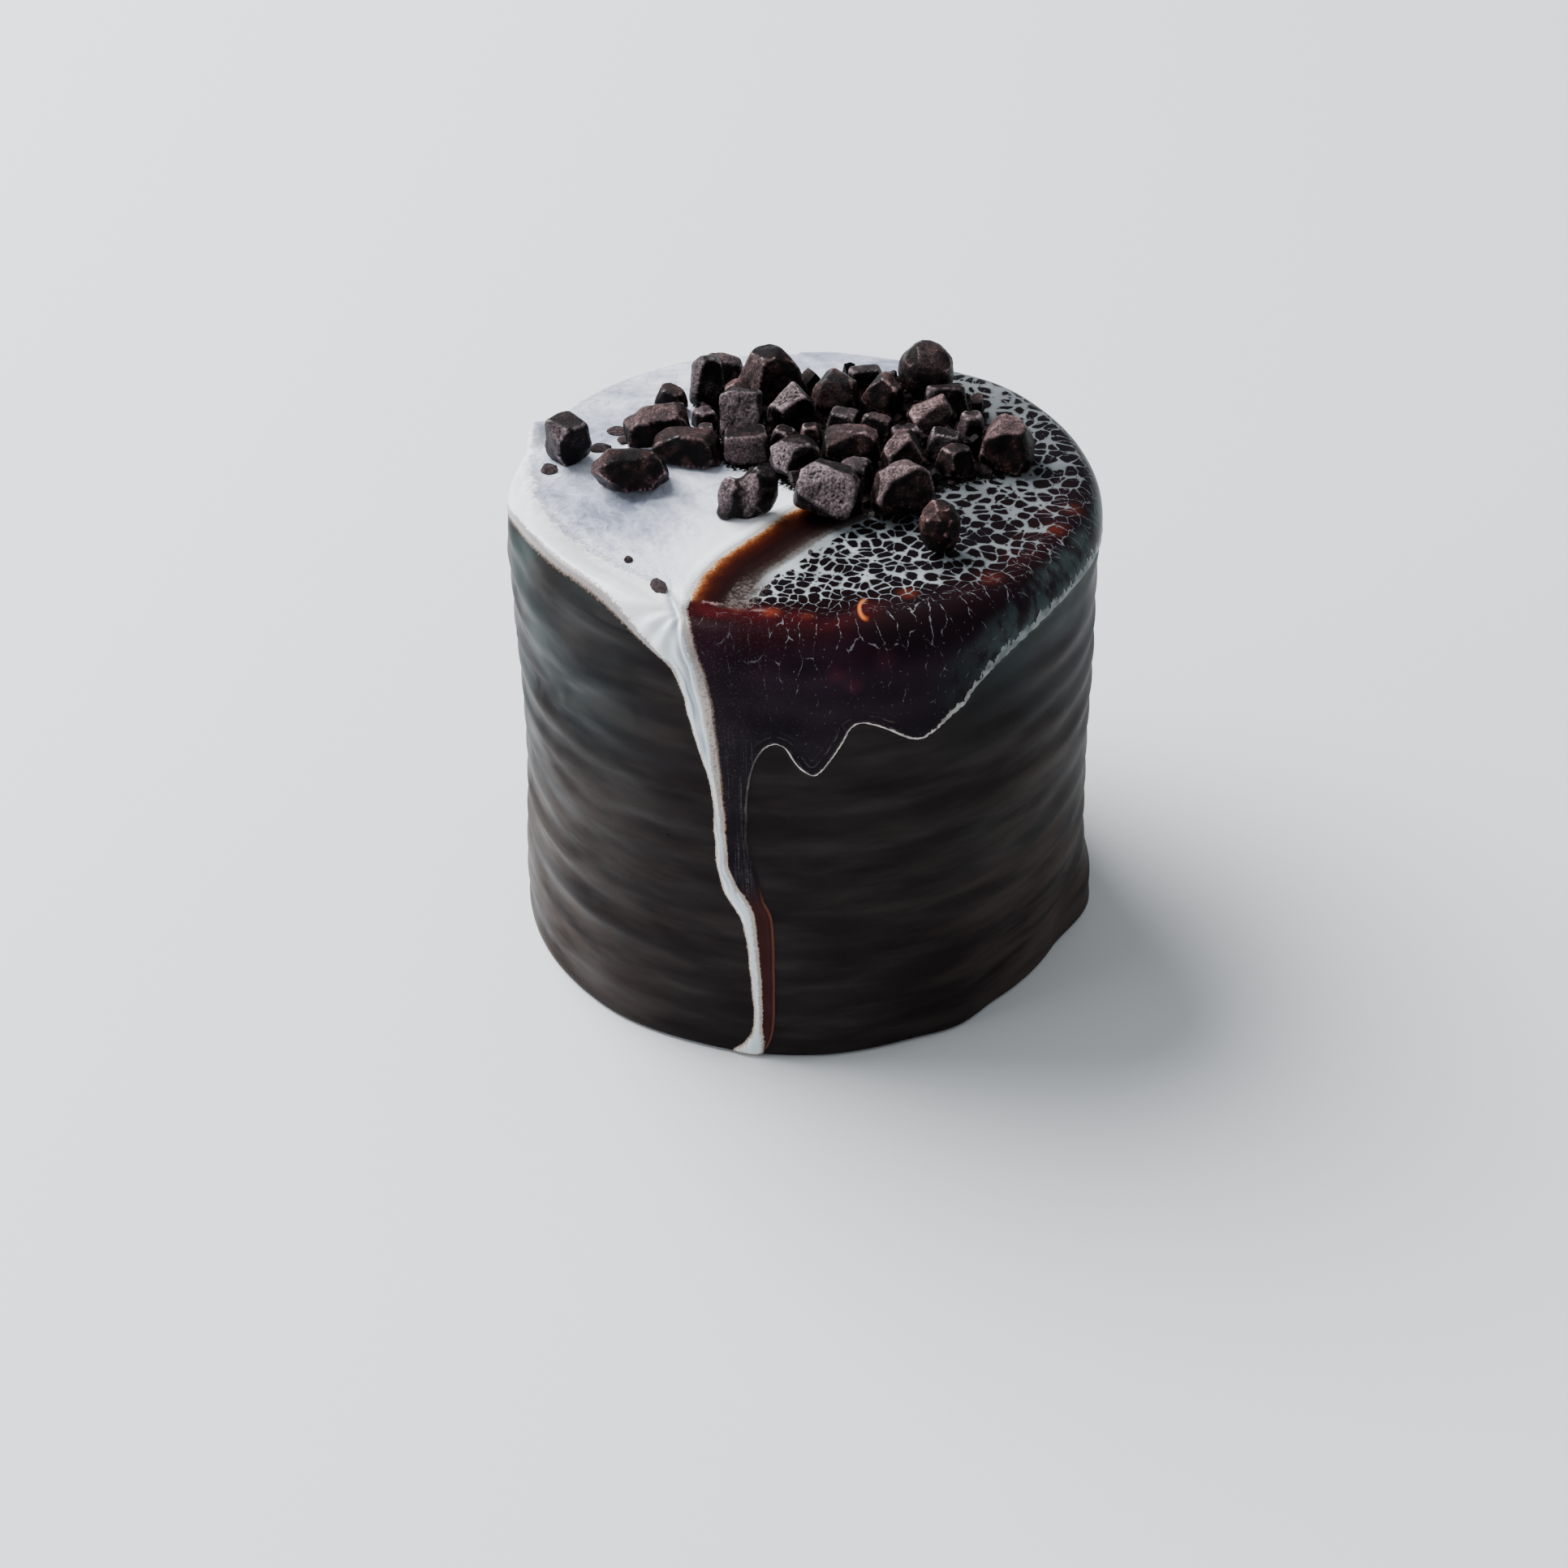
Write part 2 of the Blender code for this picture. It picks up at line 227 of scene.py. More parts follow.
# %% Sizes of the body
CAKE_RADIUS = 35.0 * MM
CAKE_HEIGHT = 60.0 * MM
FOOT_CHAMFER = 0.5 * MM
FOOT_SPREAD = ((-180, 0.5), (-120, 0.6), (-80, 1.4), (-45, 1.2), (-20, 0.4), (0, 0.2),
               (20, -0.2), (30, 0.25), (42, -0.75), (62, -0.7), (80, 1.5), (100, 0.4), (180, 0.5))
FOOT_HEIGHT = 15.0 * MM
FOOT_HEIGHT_SWING = 6.0 * MM
FOOT_HEIGHT_SIDE = -70.0
RIM_ROUNDING = ((-180, 5.6), (-150, 3.4), (-60, 3.0), (-20, 3.8), (0, 4.4), (60, 4.2),
                (110, 4.6), (150, 5.8), (180, 5.6))
RIPPLE_PITCH = 4.8 * MM
RIPPLE_DEPTH_FRONT = 0.10 * MM
RIPPLE_DEPTH_SIDES = 0.24 * MM
RIPPLE_WAVER = 0.9 * MM


def body_radius(bearings, heights):
    """The plain side with its spread foot and its ripples, before any glaze."""
    turn = np.radians(bearings)
    foot_height = FOOT_HEIGHT + FOOT_HEIGHT_SWING * np.cos(np.radians(bearings - FOOT_HEIGHT_SIDE))
    spread = along(FOOT_SPREAD, bearings) * MM * ease(1.25 - heights / foot_height)
    depth = RIPPLE_DEPTH_FRONT + (RIPPLE_DEPTH_SIDES - RIPPLE_DEPTH_FRONT) * np.sin(turn / 2) ** 2
    depth = depth * (1.0 + 0.5 * np.sin(3 * turn + heights / FOOT_HEIGHT * 4))
    waver = RIPPLE_WAVER * np.sin(2 * turn + 0.7) + 0.5 * RIPPLE_WAVER * np.sin(5 * turn)
    ripple = depth * np.cos((heights + waver) / RIPPLE_PITCH * 2 * math.pi)
    return CAKE_RADIUS + spread + ripple


print("foot radius at the front in mm:", round(float(body_radius(0.0, 0.0)) / MM, 2))

# %% Columns and rows of the rolled grid
COLUMNS = 500
TOP_ROWS = 52
RIM_ROWS = 18
SIDE_ROWS = 124
MIDDLE_CROWDING = 0.65
DRIP_BEARING = -15.0
DRIP_SECTOR = 16.0
DRIP_DENSITY = 1.6


def column_bearings():
    """Bearings once round the cake, closer together across the drip."""
    fine = np.linspace(-180.0, 180.0, 20 * COLUMNS)
    density = 1.0 + DRIP_DENSITY * np.exp(-(((fine - DRIP_BEARING) / DRIP_SECTOR) ** 2))
    share = np.concatenate(([0.0], np.cumsum((density[1:] + density[:-1]) / 2)))
    return np.interp(np.linspace(0.0, share[-1], COLUMNS + 1), share, fine)


def row_point(bearings, row):
    """Radius and height of one row at all bearings, from the middle of the top outwards."""
    rounding = along(RIM_ROUNDING, bearings) * MM
    shoulder = CAKE_HEIGHT - rounding
    shoulder_radius = body_radius(bearings, shoulder)
    if row <= TOP_ROWS:
        share = (row / TOP_ROWS) ** MIDDLE_CROWDING
        return (shoulder_radius - rounding) * share, CAKE_HEIGHT + 0.0 * bearings
    if row <= TOP_ROWS + RIM_ROWS:
        lift = math.pi / 2 * (1.0 - (row - TOP_ROWS) / RIM_ROWS)
        radius = shoulder_radius - rounding * (1.0 - math.cos(lift))
        return radius, shoulder + rounding * math.sin(lift)
    if row <= TOP_ROWS + RIM_ROWS + SIDE_ROWS:
        share = 1.0 - (row - TOP_ROWS - RIM_ROWS) / SIDE_ROWS
        height = FOOT_CHAMFER + (shoulder - FOOT_CHAMFER) * share
        return body_radius(bearings, height), height
    return body_radius(bearings, FOOT_CHAMFER) - FOOT_CHAMFER, 0.0 * bearings


rows_in_all = TOP_ROWS + RIM_ROWS + SIDE_ROWS + 1
print("rows:", rows_in_all, "columns:", COLUMNS)

# %% Rolling the grid up
WELD = 0.002 * MM

deselect_all()
bpy.ops.mesh.primitive_grid_add(x_subdivisions=COLUMNS, y_subdivisions=rows_in_all, size=2.0)
skin = bpy.context.object
skin.name = "glazed_body"
grid_points = read_points(skin.data)
column_index = np.rint((grid_points[:, 0] + 1.0) / 2.0 * COLUMNS).astype(int)
row_index = np.rint((grid_points[:, 1] + 1.0) / 2.0 * rows_in_all).astype(int)
bearings_of_columns = column_bearings()
radius_table = np.empty((rows_in_all + 1, COLUMNS + 1))
height_table = np.empty((rows_in_all + 1, COLUMNS + 1))
for row in range(rows_in_all + 1):
    radius_table[row], height_table[row] = row_point(bearings_of_columns, row)
turns = np.radians(bearings_of_columns[column_index])
radii = radius_table[row_index, column_index]
heights = height_table[row_index, column_index]
write_points(skin.data, np.stack((radii * np.sin(turns), -radii * np.cos(turns), heights), axis=1))

bpy.ops.object.mode_set(mode="EDIT")
bpy.ops.mesh.select_all(action="SELECT")
bpy.ops.mesh.remove_doubles(threshold=WELD)
bpy.ops.mesh.select_all(action="DESELECT")
bpy.ops.mesh.select_non_manifold()
bpy.ops.mesh.edge_face_add()
bpy.ops.mesh.select_all(action="SELECT")
bpy.ops.mesh.normals_make_consistent(inside=False)
bpy.ops.object.mode_set(mode="OBJECT")
print("skin vertices:", len(skin.data.vertices))

# %% [markdown]
# A map of the surface. The glaze was poured on the middle of the top and ran outwards and
# down, so its patterns are laid out on a flow map: the distance from the middle of the top
# along the surface, called the station, and the bearing. On the top this map is true to
# scale. On the side it is wider than the cake, and one factor puts that right.

# %% Flow map
NOMINAL_ROUNDING = 4.0
RADIUS_MM = CAKE_RADIUS / MM
HEIGHT_MM = CAKE_HEIGHT / MM
FLAT_RADIUS = RADIUS_MM - NOMINAL_ROUNDING
SHOULDER_STATION = FLAT_RADIUS + NOMINAL_ROUNDING * math.pi / 2

base_points = read_points(skin.data) / MM
base_radius = np.hypot(base_points[:, 0], base_points[:, 1])
bearing = np.degrees(np.arctan2(base_points[:, 0], -base_points[:, 1]))
above_shoulder = base_points[:, 2] - (HEIGHT_MM - NOMINAL_ROUNDING)
past_flat = base_radius - FLAT_RADIUS
rim_angle = np.arctan2(np.maximum(past_flat, 0.0), np.maximum(above_shoulder, 1e-6))
station = np.where(
    above_shoulder < 0.0,
    SHOULDER_STATION - above_shoulder,
    np.where(past_flat < 0.0, base_radius, FLAT_RADIUS + NOMINAL_ROUNDING * rim_angle),
)
flow_out = np.stack((np.sin(np.radians(bearing)), -np.cos(np.radians(bearing))), axis=1)
flow_across = np.stack((-flow_out[:, 1], flow_out[:, 0]), axis=1)
flow = flow_out * station[:, None]
across_scale = np.minimum(1.0, base_radius / np.maximum(station, 1e-6))
print("longest station in mm:", round(float(station.max()), 1))

# %% Smooth curves and distances on the flow map
CURVE_STEPS = 4


def flow_point(bearing_degrees, station_mm):
    turn = math.radians(bearing_degrees)
    return (station_mm * math.sin(turn), -station_mm * math.cos(turn))


def smooth_closed(corners):
    """A smooth closed curve through corner points of the flow map."""
    steps = np.arange(CURVE_STEPS)[:, None] / CURVE_STEPS
    curve = []
    for index in range(len(corners)):
        before, start, end, after = (corners[(index + k) % len(corners)] for k in (-1, 0, 1, 2))
        bend = 2 * before - 5 * start + 4 * end - after
        twist = 3 * (start - end) + after - before
        curve.append(start + steps * (end - before + steps * (bend + steps * twist)) / 2)
    return np.concatenate(curve)


def polar_curve(polar_points):
    """A smooth closed curve through points given as (bearing, station)."""
    return smooth_closed(np.array([flow_point(*point) for point in polar_points]))


def signed_distance(curve):
    """Distance in mm from each vertex to a closed curve, above 0 inside it."""
    nearest = np.full(len(flow), 1e9)
    inside = np.zeros(len(flow), dtype=bool)
    for start, end in zip(curve, np.roll(curve, -1, axis=0)):
        to_start = start - flow
        run = end - start
        start_out = np.sum(to_start * flow_out, axis=1)
        start_across = np.sum(to_start * flow_across, axis=1) * across_scale
        run_out = flow_out @ run
        run_across = (flow_across @ run) * across_scale
        length = run_out ** 2 + run_across ** 2 + 1e-12
        share = np.clip(-(start_out * run_out + start_across * run_across) / length, 0.0, 1.0)
        gap_out = start_out + share * run_out
        gap_across = start_across + share * run_across
        nearest = np.minimum(nearest, gap_out ** 2 + gap_across ** 2)
        crosses = (start[1] > flow[:, 1]) != (end[1] > flow[:, 1])
        rise = end[1] - start[1] if end[1] != start[1] else 1e-12
        left_of = flow[:, 0] < start[0] + (flow[:, 1] - start[1]) / rise * run[0]
        inside ^= crosses & left_of
    return np.where(inside, 1.0, -1.0) * np.sqrt(nearest)


def chain_distance(polar_points):
    """Distance in mm on the flow map from each vertex to an open chain of points."""
    chain = np.array([flow_point(*point) for point in polar_points])
    nearest = np.full(len(flow), 1e9)
    for start, end in zip(chain[:-1], chain[1:]):
        run = end - start
        share = np.clip(((flow - start) @ run) / (run @ run), 0.0, 1.0)
        gap = flow - start - share[:, None] * run
        nearest = np.minimum(nearest, np.hypot(gap[:, 0], gap[:, 1]))
    return nearest


# %% [markdown]
# The glazes. White glaze was poured over the dark one. It covers the left half of the top,
# hangs over the left rim as a thick lip, and gathers into one thin drip that runs down to
# the foot. On the right a dark film hangs over the rim, and a white lace lies on it. Between
# the two the dark glaze shows through as one long amber streak.
#
# Each outline is one smooth curve, and becomes a distance that is stored on the vertices. A
# painted mask would be as coarse as the mesh, but a distance stays smooth between the
# vertices, so the material can cut a sharp edge out of it.

# %% Outline of the white pour, each point as (bearing, station in mm)
WHITE_BACK_STATION = 35.5
WHITE_BACK_WAVE = 0.9

white_back = [
    (back, WHITE_BACK_STATION + WHITE_BACK_WAVE * math.sin(math.radians(7 * back)))
    for back in range(-210, -80, 10)
]
white_lower_edge = [
    (-74, 34.0), (-65, 33.4), (-56, 33.2), (-48, 33.1), (-41, 33.6), (-36, 34.5), (-32, 35.6),
    (-28, 37.0), (-24.6, 38.6), (-23, 41), (-22, 44.3), (-20.6, 47.8), (-18.9, 51.5),
    (-17.9, 55), (-17.8, 60), (-17.6, 64.5), (-16.6, 68), (-14.6, 70.6), (-13.1, 72.6),
    (-12.2, 76), (-11.7, 81), (-11.3, 85), (-11.5, 89), (-13.4, 91.4), (-15.8, 92.8),
]
white_drip_right = [
    (-9.9, 92.8), (-9.6, 88.5), (-9.6, 82), (-10.1, 76), (-10.6, 71.8), (-11.8, 69.2),
    (-14.0, 67), (-15.3, 64), (-15.6, 58.7), (-16, 54.4), (-16.4, 50), (-17, 46), (-17.6, 41.7),
    (-18.9, 37.7), (-21.4, 34.2), (-25, 30.7), (-27.4, 27.4), (-28.9, 23.7), (-28.9, 18.9),
    (-24.9, 14), (-17, 8.9), (0, 5.4), (57, 4),
]
white_under_heap = [(130, 8), (145, 16), (150, 25), (151, 33)]
white_edge = signed_distance(polar_curve(white_back + white_lower_edge + white_drip_right
                                         + white_under_heap))
print("share of the skin under white:", round(float(np.mean(white_edge > 0)), 2))

# %% Outline of the dark film
film_strip = [
    (-9.9, 92.0), (-7.5, 89), (-7.0, 79), (-7.2, 72), (-8.7, 69), (-10.1, 65), (-11.4, 61.5),
    (-11.3, 56), (-10.7, 52.4),
]
film_hem = [
    (-9.8, 49.8), (-8.2, 47.7), (-6.1, 46.6), (-4.3, 47.0), (-2.9, 48.6), (-1.1, 50.1),
    (1.5, 50.8), (4.4, 48.8), (6.4, 46.5), (8.0, 44.7), (10, 44.3), (12.5, 44.8), (15.6, 45.9),
    (18.6, 47.2), (21.4, 47.7), (24, 46.9), (27, 45.7), (30.4, 44.7), (32.6, 42.9), (36.3, 41.2),
    (41.7, 39.9), (48.2, 38.9), (56, 38.1), (65.6, 37.9), (80, 38.7), (95, 40.2), (110, 42.6),
    (122, 41.2), (135, 39.8), (147, 40.4), (157, 39.2), (166, 37.4), (175, 35.2), (184, 33.0),
]
film_closing = [(-90, 2), (-40, 20), (-27, 33), (-20.5, 40), (-18.2, 48), (-16.8, 56), (-16.2, 63),
                (-13.4, 69), (-11.2, 76), (-10.7, 84)]
film_edge = signed_distance(polar_curve(film_strip + film_hem + film_closing))
print("share of the skin under the film:", round(float(np.mean(film_edge > 0)), 2))

# %% Outlines of the lace and of the ground under the heap
lace_inner_edge = [
    (-15.0, 30.5), (-13.8, 28.6), (-13.2, 26.6), (-11.6, 23.8), (-8.0, 20.6), (-1.5, 17.8),
    (8.8, 15.0), (24.2, 12.2), (41, 11.2), (52, 11.6), (80, 9), (110, 7), (140, 12), (155, 22),
]
lace_closing = [(160, 45), (120, 60), (60, 70), (20, 70), (-5, 70), (-14, 50)]
lace_edge = signed_distance(polar_curve(lace_inner_edge + lace_closing))

HEAP_OUTLINE = (
    (-9.5, 3.0), (-4.5, 0.5), (-1.0, -3.5), (3.5, -8.0), (10.5, -8.0), (14.5, -4.5),
    (20.0, -1.5), (26.0, 0.5), (27.0, 5.0), (22.5, 9.5), (21.5, 15.5), (18.0, 20.5),
    (10.0, 25.0), (0.0, 23.5), (-9.5, 25.0), (-12.5, 21.5), (-13.0, 15.0), (-10.5, 9.0),
)
heap_edge = signed_distance(smooth_closed(np.array(HEAP_OUTLINE)))
print("share of the skin under the heap:", round(float(np.mean(heap_edge > 0)), 3))

# %% The amber streak: its outline, and the place across it from 0 at the white side to 1
streak_white_side = [
    (70, 4), (57, 4), (0, 5.4), (-17, 8.9), (-24.9, 14), (-28.9, 18.9), (-28.9, 23.7),
    (-27.4, 27.4), (-25.2, 30.4), (-23.6, 33.0),
]
streak_lace_side = [
    (-15.4, 33.0), (-15.4, 30.6), (-14.8, 28.6), (-14.4, 26.6), (-13.4, 24.2), (-10.8, 20.6),
    (-4.6, 17.4), (4.4, 14.4), (17, 12.2), (34, 11.6), (48, 11),
]
streak_edge = signed_distance(polar_curve(streak_white_side + streak_lace_side))
white_side_distance = chain_distance(streak_white_side)
lace_side_distance = chain_distance(streak_lace_side)
streak_across = white_side_distance / (white_side_distance + lace_side_distance + 1e-6)
print("streak width in mm:", round(float(2 * streak_edge.max()), 1))

# %% [markdown]
# Coordinates for the patterns. The holes of the lace are small where the pour began to open
# and grow towards the back, so its pattern is laid on a power of the distance from a point
# outside the rim: equal steps there are growing steps on the cake, and no hole is squeezed.
# The streaks of the white pour all run to the mouth of the drip, the lines in the drip run
# along it, and the threads on the film run straight down.

# %% Pattern coordinates
LACE_POLE = np.array((-14.0, -45.0))
LACE_CELL = 0.35
LACE_GROWTH = 0.40
POUR_MOUTH = np.array((-13.0, -28.5))

LACE_FRONT = (2.0, -12.0)
LACE_RIM = (22.0, 30.0)
LACE_RIM_BACK = (30.0, 4.0)
LACE_OPENING = ((0, 1.8), (19, 1.8), (26, 0.6), (90, 0.6))
LEAST_OPEN = 0.22

from_pole = flow - LACE_POLE
pole_distance = np.hypot(from_pole[:, 0], from_pole[:, 1]) + 1e-3
pole_angle = np.arctan2(from_pole[:, 0], from_pole[:, 1])
lace_spread = pole_distance ** (1.0 - LACE_GROWTH) / (LACE_CELL * (1.0 - LACE_GROWTH))
lace_turn = pole_angle * (1.0 - LACE_GROWTH)
lace_place = np.stack((np.sin(lace_turn), np.cos(lace_turn)), axis=1) * lace_spread[:, None]
from_mouth = flow - POUR_MOUTH
mouth_distance = np.hypot(from_mouth[:, 0], from_mouth[:, 1])
mouth_angle = np.arctan2(from_mouth[:, 0], from_mouth[:, 1])
pour_place = np.stack((mouth_angle, mouth_distance), axis=1)
film_place = np.stack((np.radians(bearing) * RADIUS_MM, station), axis=1)

front_share = rise(flow[:, 1], *LACE_FRONT)
rim_share = rise(station, *LACE_RIM) * rise(flow[:, 1], *LACE_RIM_BACK)
most_open = LEAST_OPEN + (1.0 - LEAST_OPEN) * np.maximum(front_share, rim_share)
openness = ease(lace_edge / along(LACE_OPENING, station)) * most_open
print("cell size at the front in mm:", round(LACE_CELL * 25.0 ** LACE_GROWTH, 2))

# %% Where the white pour is thick and bright, and where the side has its painted reflections
THIN_WHITE = ((-21.0, -7.5, 7.0, 0.42), (-23.0, 14.0, 8.0, 0.25), (-13.5, -21.5, 3.0, 0.20),
              (-29.0, -2.0, 3.0, 0.30), (12.0, 28.0, 8.0, 0.60), (-2.0, 31.0, 5.0, 0.25))
LIP_INNER = ((-180, 34.0), (-130, 33.8), (-101, 33.3), (-88, 31.7), (-77, 31.0), (-68, 30.1),
             (-61, 29.2), (-53, 28.8), (-45, 28.4), (-37, 28.4), (-31.5, 29.4), (-26, 31.0),
             (-20, 33.0), (0, 34.0), (180, 34.0))
NET_END = ((-180, 31.0), (-20, 25.6), (12, 25.8), (28, 27.0), (42, 28.6), (65, 31.0), (110, 32.0),
           (180, 32.5))
VEIL_START = ((0, 41.0), (22, 38.5), (30, 36.2), (36, 34.4), (43, 33.6), (54, 32.4), (66, 32.6),
              (77, 33.4), (110, 33.5), (180, 35.0))
DRIP_MIDDLE = ((20, -30.0), (33, -27.0), (36, -23.5), (40, -20.5), (44, -19.5), (50, -18.0),
               (55, -16.8), (65, -16.0), (68, -14.8), (72, -11.8), (80, -10.7), (93, -10.6))
FURROW = ((-31.0, 28.6), (-29.3, 29.8), (-24.8, 32.6), (-23.0, 35.2), (-21.3, 37.4), (-20.4, 40.2),
          (-19.4, 43.5), (-18.4, 48.0))
SHINE = ((-180, 0.20), (-115, 0.40), (-65, 0.43), (-15, 0.11), (15, 0.11), (65, 0.17), (180, 0.20))
SAND_RIGHT = ((28, 0.30), (34, 0.60), (42, 0.85), (54, 0.60), (62, 0.28), (93, 0.20))
SAND_LEFT = ((28, 0.20), (33, 0.55), (37, 0.50), (42, 0.20), (93, 0.14))

MILK_FAR = 0.54
MILK_REACH = 6.5
VEIL_BEARINGS = (20.0, 46.0)
SIDE_MIDDLE = -3.0
TEAL_BEARINGS = (22.0, 67.0)
TEAL_ROWS = (82.0, 44.0)
TEAL_BACK = (72.0, 117.0)
BROWN_BEARINGS = (20.0, 60.0)
BROWN_ROWS = (50.0, 72.0)

milk = MILK_FAR + (1.0 - MILK_FAR) * np.exp(-((white_side_distance / MILK_REACH) ** 2))
for x, y, reach, depth in THIN_WHITE:
    milk = milk - depth * np.exp(-((flow[:, 0] - x) ** 2 + (flow[:, 1] - y) ** 2) / reach ** 2)
lip_edge = station - along(LIP_INNER, bearing)
net_end = along(NET_END, bearing)
veil = rise(bearing, *VEIL_BEARINGS) * ease((station - along(VEIL_START, bearing)) / 1.8)
drip_offset = np.radians(bearing - along(DRIP_MIDDLE, station)) * RADIUS_MM
right_of_drip = ease(drip_offset / 0.5 + 0.5)
drip_place = np.stack((drip_offset, station), axis=1)
furrow = chain_distance(FURROW)
sand_reach = along(SAND_RIGHT, station) * right_of_drip
sand_reach = sand_reach + along(SAND_LEFT, station) * (1.0 - right_of_drip)
off_front = np.abs(bearing - SIDE_MIDDLE)
# Where the side carries a painted teal reflection near the top.
teal_reflection = rise(off_front, *TEAL_BEARINGS) * rise(station, *TEAL_ROWS)
teal_reflection = teal_reflection * (1.0 - 0.6 * rise(off_front, *TEAL_BACK))
# Where the lower side carries a painted warm brown reflection.
brown = rise(off_front, *BROWN_BEARINGS) * rise(station, *BROWN_ROWS)
shine = along(SHINE, bearing)
print("milk from", round(float(milk.min()), 2), "to", round(float(milk.max()), 2))

# %% [markdown]
# Relief. A thick glaze has a height of its own: the lip bulges over the rim, the drip is a
# round bead, and the film ends in a small step. Folds hang on the left side, bubbles lift the
# film, and a furrow leads into the drip. Round each piece of chocolate the glaze also creeps
# up, which is what seats a piece in it. All of it is pushed along the surface normal, because
# a bump in a material would leave the outline flat.

# %% Thickness of the glazes
LIP_HEIGHT = 0.85
LIP_STATION = 31.8
LIP_WIDTH = 3.2
LIP_BEARINGS = (-150, -120, -42, -24)
LIP_THINS_LEFT = (-58.0, -88.0)
OVER_RIM = (29.5, 33.5)
WHITE_THICKNESS = 0.42
WHITE_BEAD_WIDTH = 0.8
STREAK_BEAD = 0.24
STREAK_BEAD_WIDTH = 1.1
FILM_THICKNESS = 0.28
FILM_BEAD_WIDTH = 0.7
FILM_HEM_RIDGE = 0.16
RIGHT_SWELL = 0.45
RIGHT_SWELL_STATION = 34.0
RIGHT_SWELL_WIDTH = 7.0
RIGHT_SWELL_START = (50.0, 75.0)
RIGHT_SWELL_END = (160.0, 130.0)


def bead(distance, width):
    """The round edge of a thick layer: 0 outside, rising to 1 within its width."""
    share = np.clip(distance / width, 0.0, 1.0)
    return np.sqrt(1.0 - (1.0 - share) ** 2)


over_rim = rise(station, *OVER_RIM)
lip_start, lip_full, lip_fading, lip_end = LIP_BEARINGS
lip_share = rise(bearing, lip_start, lip_full) * rise(bearing, lip_end, lip_fading)
turned_left = rise(bearing, *LIP_THINS_LEFT)
lip_height = LIP_HEIGHT * (1.0 - 0.92 * turned_left)
relief = lip_height * lip_share * bump(station - LIP_STATION, LIP_WIDTH)
white_height = WHITE_THICKNESS * (1.0 - 0.65 * turned_left)
relief = relief + white_height * bead(white_edge, WHITE_BEAD_WIDTH) * over_rim
relief = relief + STREAK_BEAD * bump(white_edge - 0.7, STREAK_BEAD_WIDTH) * (1.0 - over_rim)
film_only = (white_edge < 0.0) * over_rim
relief = relief + film_only * FILM_THICKNESS * bead(film_edge, FILM_BEAD_WIDTH)
relief = relief + film_only * FILM_HEM_RIDGE * bump(film_edge - 0.35, 0.45)
right_swell = rise(bearing, *RIGHT_SWELL_START) * rise(bearing, *RIGHT_SWELL_END)
right_hump = bump(station - RIGHT_SWELL_STATION, RIGHT_SWELL_WIDTH)
relief = relief + RIGHT_SWELL * right_swell * right_hump

# %% Folds, bubbles and the lines that gather at the mouth of the drip
FOLDS = (
    (0.26, 1.9, ((-80, 38.5), (-67.6, 41.3), (-55, 41.8), (-45.6, 42.7), (-36, 41.2))),
    (-0.24, 1.0, ((-64, 50.8), (-56.5, 49.7), (-43.5, 46.6), (-33, 44.6), (-22.5, 45.2))),
    (0.16, 1.0, ((-76, 49.0), (-68.3, 48.3), (-58.4, 47.2), (-52.8, 48.6))),
    (0.14, 1.0, ((-62, 52.2), (-54, 51.0), (-43, 48.4), (-34, 46.6))),
)
BUBBLES = ((6.5, -28.8, 1.8, 0.26), (3.6, -36.6, 1.4, 0.20), (5.6, -38.7, 1.5, 0.26),
           (-3.6, -29.2, 1.8, 0.14), (0.4, -29.8, 1.5, 0.12), (19.0, -21.6, 1.6, 0.15))
GATHER_FOLDS = 11.0
GATHER_DEPTH = 0.14
GATHER_RING = (4.0, 5.0)
FURROW_DEPTH = 0.20
FURROW_ROWS = (27.5, 30.5)
RIM_WISP = (-109.0, 6.0, 33.2, 1.3, 2.0)

for depth, half_width, chain in FOLDS:
    relief = relief + depth * bump(chain_distance(chain), 2 * half_width)
for x, y, reach, height in BUBBLES:
    relief = relief + height * bump(np.hypot(flow[:, 0] - x, flow[:, 1] - y), reach)
wisp_bearing, wisp_spread, wisp_station, wisp_width, wisp_height = RIM_WISP
wisp = bump(bearing - wisp_bearing, wisp_spread) ** 0.5 * bump(station - wisp_station, wisp_width)
relief = relief + wisp_height * wisp
gather = np.cos(GATHER_FOLDS * mouth_angle + 0.25 * mouth_distance)
gather_ring, gather_width = GATHER_RING
gather = gather * bump(mouth_distance - gather_ring, gather_width) * (white_edge > 0.0)
relief = relief + GATHER_DEPTH * gather * ease(white_edge / 1.0)
relief = relief - FURROW_DEPTH * bump(furrow, 1.0) * rise(station, *FURROW_ROWS)

# %% Unevenness of the glaze and of the side
WAVE_SCALE = 0.12
WAVE_HEIGHT = 0.16
FROTH_SCALE = 1.1
FROTH_HEIGHT = 0.34
SIDE_SCALE = 0.30
SIDE_HEIGHT = 0.10
SIDE_STRETCH = (1.0, 1.0, 1.6)
SIDE_START = (36.0, 39.0)

on_side = rise(station, *SIDE_START)
relief = relief + WAVE_HEIGHT * noise_at(base_points, WAVE_SCALE) * (1.0 - on_side)
froth = noise_at(base_points, FROTH_SCALE) + 0.5 * noise_at(base_points, 2.3 * FROTH_SCALE)
froth_band = bump(lip_edge - 0.5, 1.3) * lip_share
relief = relief + FROTH_HEIGHT * np.abs(froth) * froth_band
dents = noise_at(base_points, SIDE_SCALE, SIDE_STRETCH)
relief = relief + SIDE_HEIGHT * dents * on_side * (1.0 - film_only)

# %% Glaze creeping up round the chocolate
CREEP_HEIGHT = 0.40
CREEP_REACH = 1.2

